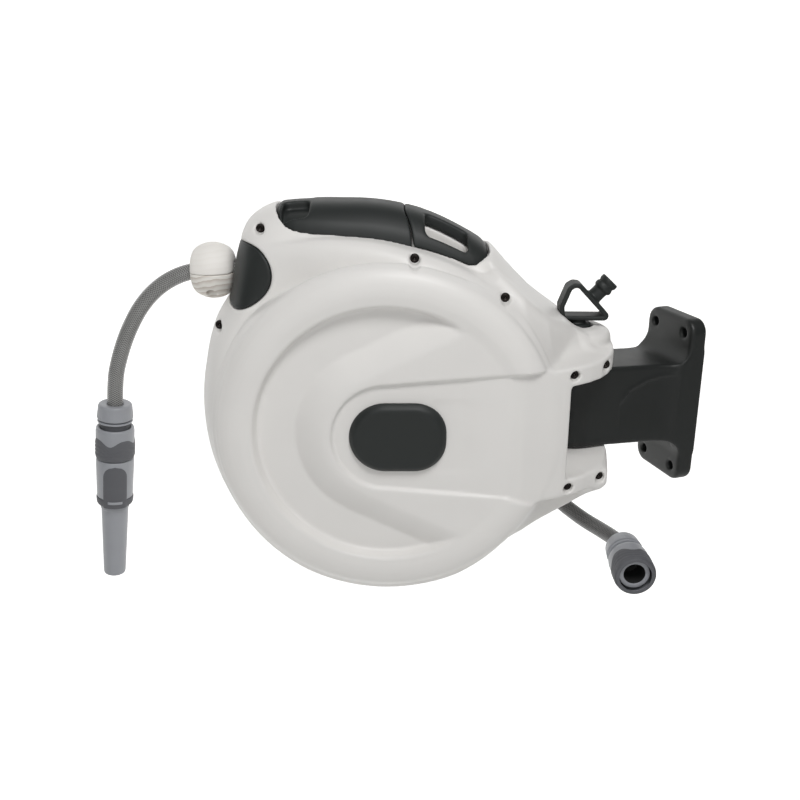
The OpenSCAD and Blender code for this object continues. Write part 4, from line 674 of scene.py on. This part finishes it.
# Hose connectors: a nut, a neck, a release sleeve with a wavy soft grip, and the nozzle on the hanging one
connector = {
    "dropX": -246.0, "dropUp": -5.5, "lean": 6.0, "inletX": 206.0, "inletUp": -117.0, "inletNear": 62.0, "bore": 9.5,
    "nut": [(1.2, 7.2), (0.4, 8.2), (0.1, 12.6), (0.6, 14.2), (2.0, 14.9), (13.0, 15.8), (14.0, 15.6),
            (14.3, 12.4), (15.5, 12.4), (15.7, 15.5), (17.0, 15.6), (17.5, 14.8), (17.5, 9.0)],
    "neck": [(17.6, 9.0), (17.6, 12.4), (18.2, 12.9), (48.4, 12.9), (48.4, 9.1), (25.0, 9.0), (25.0, 5.5)],
    "sleeve": [(30.0, 13.4), (23.4, 13.4), (22.4, 14.4), (22.4, 15.9), (23.2, 16.7), (26.0, 17.1), (40.0, 17.0),
               (51.4, 16.9), (52.5, 15.9), (52.5, 13.4)],
    "body": [(52.9, 8.9), (52.9, 16.0), (54.0, 16.8), (60.0, 16.9), (91.0, 16.1), (91.2, 13.0)],
    "base": [(91.2, 13.0), (91.2, 16.4), (92.0, 16.7), (97.4, 16.2), (99.4, 14.6), (99.4, 12.9)],
    "tip": [(86.0, 5.6), (86.0, 12.6), (99.4, 12.6), (99.8, 12.9), (103.4, 12.8), (104.0, 12.2), (171.4, 10.1),
            (173.0, 9.7), (173.4, 9.0), (173.4, 6.5), (165.0, 6.0)],
    "nutRibs": {"count": 36, "depth": 0.18, "start": 4.5, "end": 13.0},
    "grip": {"radius": 16.8, "top": 31.0, "bottom": 51.9, "wave": 5.5},
    "arch": {"radii": [(52.9, 16.8), (60, 16.9), (91, 16.2), (99.4, 16.0)], "width": 23.0, "top": 56.5,
             "bottom": 98.6},
    "bar": {"radii": [(91.6, 17.0), (93.9, 17.0)], "width": 13.5, "top": 91.6, "bottom": 93.9, "arched": False},
    "archTurn": 16.0,
}


def onDrop(points):  # lathe axis down from the hanging nut, y towards the viewer
    p, a = np.asarray(points, float), math.radians(connector["lean"])
    return toRow(np.stack([connector["dropX"] + p[:, 0] * math.cos(a) - p[:, 2] * math.sin(a),
                           connector["dropUp"] - p[:, 0] * math.sin(a) - p[:, 2] * math.cos(a), p[:, 1]], 1))


def onInlet(points):  # lathe axis from the supply nut towards the viewer
    p = np.asarray(points, float)
    return toRow(np.stack([connector["inletX"] + p[:, 0], connector["inletUp"] + p[:, 1],
                           connector["inletNear"] + p[:, 2]], 1))


# The soft grip: a raised skin with fine ribs, whose upper edge runs in waves round the sleeve
def softSkin(radius, top, bottom, wave, waves=4, bulge=0.75, ribs=10, ribDepth=0.22, count=96, rows=22):
    turn = np.arange(count) * 2 * np.pi / count
    start = top + wave * (0.5 + 0.5 * np.cos(waves * turn)) ** 1.5
    points = []
    for i in range(rows + 1):
        t = i / rows
        along = start + (bottom - start) * t
        raised = bulge * np.minimum(1, 6 * np.minimum(t, 1 - t)) ** 0.5
        r = radius + raised + ribDepth * np.cos(t * math.pi * ribs) * (0.2 < t < 0.9)
        points.append(np.stack([r * np.cos(turn), r * np.sin(turn), along], 1))
    return np.concatenate(points), ringFaces(rows + 1, count)


# The arch on the nozzle: a soft inlay with a rounded top and a small raised bar at its foot
def archSkin(radii, width, top, bottom, arched=True, raised=0.9, sunk=0.15, columns=24, rows=30):
    points, faces, turn = [], [], math.radians(connector["archTurn"])
    for i in range(rows + 1):
        t = i / rows
        along = top + (bottom - top) * t
        radius = float(np.interp(along, *np.array(radii).T))
        share = min(1.0, (along - top) / (width / 2)) if arched else 1.0
        half = width / 2 * math.sqrt(max(0.0, 1 - (1 - share) ** 2)) + 0.02
        for k in range(columns + 1):
            s = -1 + 2 * k / columns
            r = radius + (raised * min(1.0, 5 * (1 - abs(s)), 5 * t + 0.05) ** 0.5 - sunk)
            a = math.pi / 2 - turn - s * half / radius
            points.append((r * math.cos(a), r * math.sin(a), along))
    for i in range(rows):
        for k in range(columns):
            j = i * (columns + 1) + k
            faces.append((j, j + 1, j + columns + 2, j + columns + 1))
    return np.array(points), faces


def nutRibs(turn, along):  # shallow ribs round the nut's lower half
    ribs = connector["nutRibs"]
    return ribs["depth"] * np.cos(turn * ribs["count"]) * (ribs["start"] < along < ribs["end"])


def hung(*meshes):  # meshes on the hanging connector, numbered for their materials
    return [(onDrop(points), [f[::-1] for f in faces], i) for i, (points, faces) in enumerate(meshes)]


lathes = {key: latheMesh(rounded(connector[key], 0.7), 96) for key in ("neck", "sleeve", "body", "base", "tip")}
lathes["nut"] = latheMesh(rounded(connector["nut"], 0.8), 144, nutRibs)
skin, arch, bar = softSkin(**connector["grip"]), archSkin(**connector["arch"]), archSkin(**connector["bar"])
dropPieces = [
    addPiece("hose_nut_ribbed", hung(lathes["nut"]), [greyPlastic], "reel", ["hose_nut"]),
    # The neck shows only in the narrow gap between the nut and the sleeve, and it is drawn in the dark grip material:
    # painted shade in that gap, while the supply connector's neck is grey
    addPiece("connector_neck", hung(lathes["neck"]), [softGrip], "reel", ["connector_body"]),
    addPiece("release_sleeve_soft", hung(lathes["sleeve"], skin), [greyPlastic, softGrip], "hose_sleeve",
             ["release_sleeve"]),
    addPiece("nozzle_body_tapered", hung(lathes["body"], lathes["base"]), [greyPlastic, softGrip], "reel",
             ["nozzle_body"]),
    addPiece("nozzle_arch_inlay", hung(arch, bar), [softGrip, greyPlastic], "reel", ["nozzle_inlay"]),
    addPiece("nozzle_tip_cone", hung(lathes["tip"]), [greyPlastic], "tip", ["nozzle_tip"]),
]


def twoTone(lathe, level, end):  # the second material starts at a level on the axis, or inside the bore below it
    points, faces = lathe
    chosen = []
    for face in faces:
        corners = points[list(face)]
        middle, spread = corners.mean(axis=0), np.hypot(*corners[:, :2].T).max()
        chosen.append(middle[2] > level if end else middle[2] < level and spread < connector["bore"])
    return [(onInlet(points), [f for f, c in zip(faces, chosen) if c == side], int(side)) for side in (False, True)]


inletPieces = [
    addPiece("supply_nut_ribbed", [(onInlet(lathes["nut"][0]), lathes["nut"][1], 0)], [greyPlastic], "reel",
             ["inlet_nut"]),
    # The inside of the supply neck's bore is drawn in black nitrile: painted shade in the bore
    addPiece("supply_neck", twoTone(lathes["neck"], 47.0, False), [greyPlastic, sealRubber], "reel", ["inlet_body"]),
    addPiece("supply_sleeve_soft", twoTone(lathes["sleeve"], 51.2, True) + [(onInlet(skin[0]), skin[1], 1)],
             [greyPlastic, softGrip], "supply_sleeve", ["inlet_sleeve"]),
]
nodes = frame["nodes"]
print("connectors made")


# Wall bracket: plate, arm and hinge knuckle in one moulding, hollow from below
bracket = {"plate": (16.0, 35.0, 77.0), "corner": 13.0, "armHalf": 29.0, "top": (37.5, 42.5), "low": (-36.0, -30.5),
           "reach": 112.0, "flare": 5.0, "foot": 20.0, "footLow": -31.6, "sunk": 0.9, "bead": 0.9, "bore": 8.6,
           "ridge": [(-82, -60), (-80, 6), (-70, 19), (-54, 26), (-36, 29), (-14, 30.5), (20, 31), (20, -60)],
           "hollow": {"middle": -47.5, "halfLong": 30.0, "aside": 13.0, "halfWide": 10.0, "top": 33.0},
           "hole": {"aside": 22.0, "levels": (-64, 64), "radius": 4.1},
           "box": ((-144, -38, -80), (2, 38, 80)), "voxel": 1.0}


def bracketField(x, y, z):
    b, thick, halfWide = bracket, bracket["plate"][0], bracket["plate"][1]
    face = np.hypot(np.maximum(np.abs(y) - halfWide + b["corner"], 0),
                    np.maximum(np.abs(z) - b["plate"][2] + b["corner"], 0)) - b["corner"]
    plate = common(face, np.abs(x + thick / 2) - thick / 2, 4)
    radius = np.hypot(x + b["reach"], y)
    along = np.clip((-thick - x) / (b["reach"] - thick), 0, 1)  # from the plate to the hinge
    top, low = (b[key][0] + (b[key][1] - b[key][0]) * along for key in ("top", "low"))
    knuckle = common(radius - b["armHalf"], np.maximum(z - top, low - z), 2.5)
    foot = np.maximum(radius - b["foot"], np.maximum(z, b["footLow"] - z))
    # the arm widens to the plate's edge, and its side is sunk a little below a curved ridge with a bead
    ridge = outline(b["ridge"], x, z)
    sunk = step(-ridge / 2.2) * step((z + 26) / 34) * step((-18 - x) / 30)
    bead = np.exp(-(ridge / 1.4) ** 2) * step((z - 6) / 8) * step((-12 - x) / 22)
    wide = b["armHalf"] + b["flare"] * step((x + 46) / 34) - b["sunk"] * sunk + b["bead"] * bead
    arm = common(np.abs(y) - wide, np.maximum(z - top, low - z), 3)
    arm = np.maximum(arm, np.maximum(-b["reach"] - x, x + 4))
    body = joined(joined(joined(arm, knuckle, 1.5), foot, 1), plate, 17)
    body = np.maximum(body, np.maximum(x, np.abs(y) - halfWide))
    room, hole = b["hollow"], b["hole"]
    for side in (-1, 1):
        hollow = np.maximum(np.abs(side * y - room["aside"]) - room["halfWide"], z - room["top"])
        body = cut(body, np.maximum(np.abs(x - room["middle"]) - room["halfLong"], hollow), 1.5)
        for level in hole["levels"]:
            body = cut(body, np.hypot(y - side * hole["aside"], z - level) - hole["radius"], 1.2)
    return cut(body, radius - b["bore"], 1)


points, quads = fieldMesh(bracketField, *bracket["box"], bracket["voxel"])
addPiece("wall_bracket_moulded", [(fromWall(points), quads, 0)], [bracketPlastic], "bracket", ["wall_bracket"])


# Hinge pin with its strap-shaped pull loop and a parking spigot for the connector
pinLoop = {"plan": [(153.5, 77.5), (187, 77.2), (164, 101.5), (161, 101.8), (158.2, 100), (152.6, 85)],
           "round": 4.2, "band": 4.2, "depth": 19.0, "shaft": {"radius": 8.0, "top": 74.0, "low": -58.0},
           "collar": {"radius": 13.0, "top": 70.0, "low": 65.3},
           "spigot": {"x": 178.8, "up": 92.5, "slope": 47.0, "radius": 6.6, "start": -3.0, "end": 20.0,
                      "step": 1.7, "stepAt": 8.5, "groove": 1.1, "grooveAt": 14.4},
           "box": ((146, -61, -14), (200, 112, 14)), "voxel": 0.7}


def pinField(x, u, z):
    p, s, e, g = pinLoop, pinLoop["shaft"], pinLoop["collar"], pinLoop["spigot"]
    outer = outline(p["plan"], x, u) - p["round"]
    loop = common(np.abs(outer + p["band"] / 2) - p["band"] / 2, np.abs(z) - p["depth"] / 2, 1.4)
    radius = np.hypot(x - hang["hingeX"], z)
    shaft = np.maximum(radius - s["radius"], np.maximum(u - s["top"], s["low"] - u))
    collar = common(radius - e["radius"], np.maximum(u - e["top"], e["low"] - u), 1.5)
    slope, dx, du = math.radians(g["slope"]), x - g["x"], u - g["up"]
    along = dx * math.cos(slope) + du * math.sin(slope)
    across = np.hypot(-dx * math.sin(slope) + du * math.cos(slope), z)
    groove = g["groove"] * (np.abs(along - g["grooveAt"]) < g["groove"])
    thick = g["radius"] + g["step"] * step((along - g["stepAt"]) / 0.9) - groove + 0 * across
    spigot = common(across - thick, np.maximum(along - g["end"], g["start"] - along), 0.9)
    return joined(joined(loop, spigot, 1.5), joined(shaft, collar, 1), 1.5)


addMoulding("hinge_pin_loop", pinField, pinLoop["box"], pinLoop["voxel"], darkPlastic, "pivot_pin",
            body="pin")
print("bracket and pin made")

# Hose on the drum, hidden in the casing: rows of turns side by side
winding = {"inner": 60.5, "outer": 116.0, "half": 49.5, "turns": 7}
profile = [(-winding["half"], winding["inner"])]
pitch = 2 * winding["half"] / winding["turns"]
for turn in range(winding["turns"]):
    middle = -winding["half"] + pitch * (turn + 0.5)
    profile += [(middle - pitch / 2 * math.cos(t), winding["outer"] + pitch / 2 * math.sin(t))
                for t in np.linspace(0.12, math.pi - 0.12, 7)]
profile.append((winding["half"], winding["inner"]))
points, faces = latheMesh(profile, 96)
addPiece("hose_winding", [(toRow(points), faces, 0)], [drumPlastic], "drum", ["hose_coil"])

# Solids that keep their own shape take the finish of the real material
finishes = {
    screwSteel: ["roller_pins", "ball_screws", "pawl_post"],
    drumPlastic: ["roller_frame", "inlet_elbow", "drum_core", "front_flange", "back_flange", "spring_case",
                  "spring_cover", "ratchet_ring", "pawl"],
    darkPlastic: ["inlet_gland"],
    bushPlastic: ["hinge_bushes", "drum_bushes"],
    springSteel: ["power_spring", "pawl_spring"],
    axleBrass: ["axle"],
    sealRubber: ["axle_seals", "connector_seal", "inlet_seal"],
    softGrip: ["roller_top", "roller_bottom", "roller_front", "roller_back"],
}
for mat, names in finishes.items():
    for name in names:
        nodes[name].data.materials.clear()
        nodes[name].data.materials.append(mat)
print("finishes set")

# Studio: a pale floor far below the wall-mounted reel, curving up behind it, and broad soft lights. The floor glows,
# weakly in front of the reel and strongly behind it: painted light that lights the reel from below and behind
studio = {"floor": -0.75, "front": -4.0, "back": 2.6, "bend": 0.8, "top": 4.0, "half": 6.0, "middle": -0.2,
          "floorColour": "F7F7F6", "world": "FFFFFF", "worldStrength": 0.2}
stageMat, stageShader = newMaterial("studio_paper_glowing", 0.9)
stageShader.inputs["Base Color"].default_value = linear(studio["floorColour"])
stageShader.inputs["Emission Color"].default_value = linear(studio["floorColour"])
place = addNode(stageMat, "ShaderNodeTexCoord")
depth = addNode(stageMat, "ShaderNodeSeparateXYZ", links={0: place.outputs["Object"]})
# Painted light: the floor's glow rises from 0.15 in front of the reel to 0.75 behind it
glow = addNode(stageMat, "ShaderNodeMapRange", {"From Min": -0.1, "From Max": 0.35, "To Min": 0.15, "To Max": 0.75},
               {"Value": depth.outputs["Y"]})
stageMat.node_tree.links.new(glow.outputs["Result"], stageShader.inputs["Emission Strength"])
bend = studio["bend"]
sweep = [(studio["front"], studio["floor"])]
sweep += [(studio["back"] + bend * math.sin(t), studio["floor"] + bend - bend * math.cos(t))
          for t in np.linspace(0, math.pi / 2, 13)]
sweep.append((studio["back"] + bend, studio["top"]))
stagePoints = [(side * studio["half"] + studio["middle"], y, z) for y, z in sweep for side in (-1, 1)]
stageFaces = [(2 * i, 2 * i + 1, 2 * i + 3, 2 * i + 2) for i in range(len(sweep) - 1)]
stageMesh = bpy.data.meshes.new("studio_sweep")
stageMesh.from_pydata(stagePoints, [], stageFaces)
stageMesh.materials.append(stageMat)
floor = bpy.data.objects.new("studio_sweep", stageMesh)
bpy.context.scene.collection.objects.link(floor)

world = bpy.data.worlds.new("studio")
bpy.context.scene.world = world
world.use_nodes = True
world.node_tree.nodes["Background"].inputs["Color"].default_value = linear(studio["world"])
world.node_tree.nodes["Background"].inputs["Strength"].default_value = studio["worldStrength"]

for name, place, target, size, watts in (
        ("key_light", (-0.3, -0.9, 1.35), (-0.25, 0.0, 0.0), 0.5, 14.0),
        ("fill_light", (-0.9, -1.5, 0.5), (-0.25, 0.0, 0.0), 1.4, 5.0)):
    data = bpy.data.lights.new(name, "AREA")
    data.energy, data.size = watts, size
    lamp = bpy.data.objects.new(name, data)
    bpy.context.scene.collection.objects.link(lamp)
    lamp.location = place
    lamp.rotation_euler = (Vector(target) - Vector(place)).to_track_quat("-Z", "Y").to_euler()

bpy.context.scene.view_settings.view_transform = "Standard"
bpy.context.view_layer.update()
print("studio set")
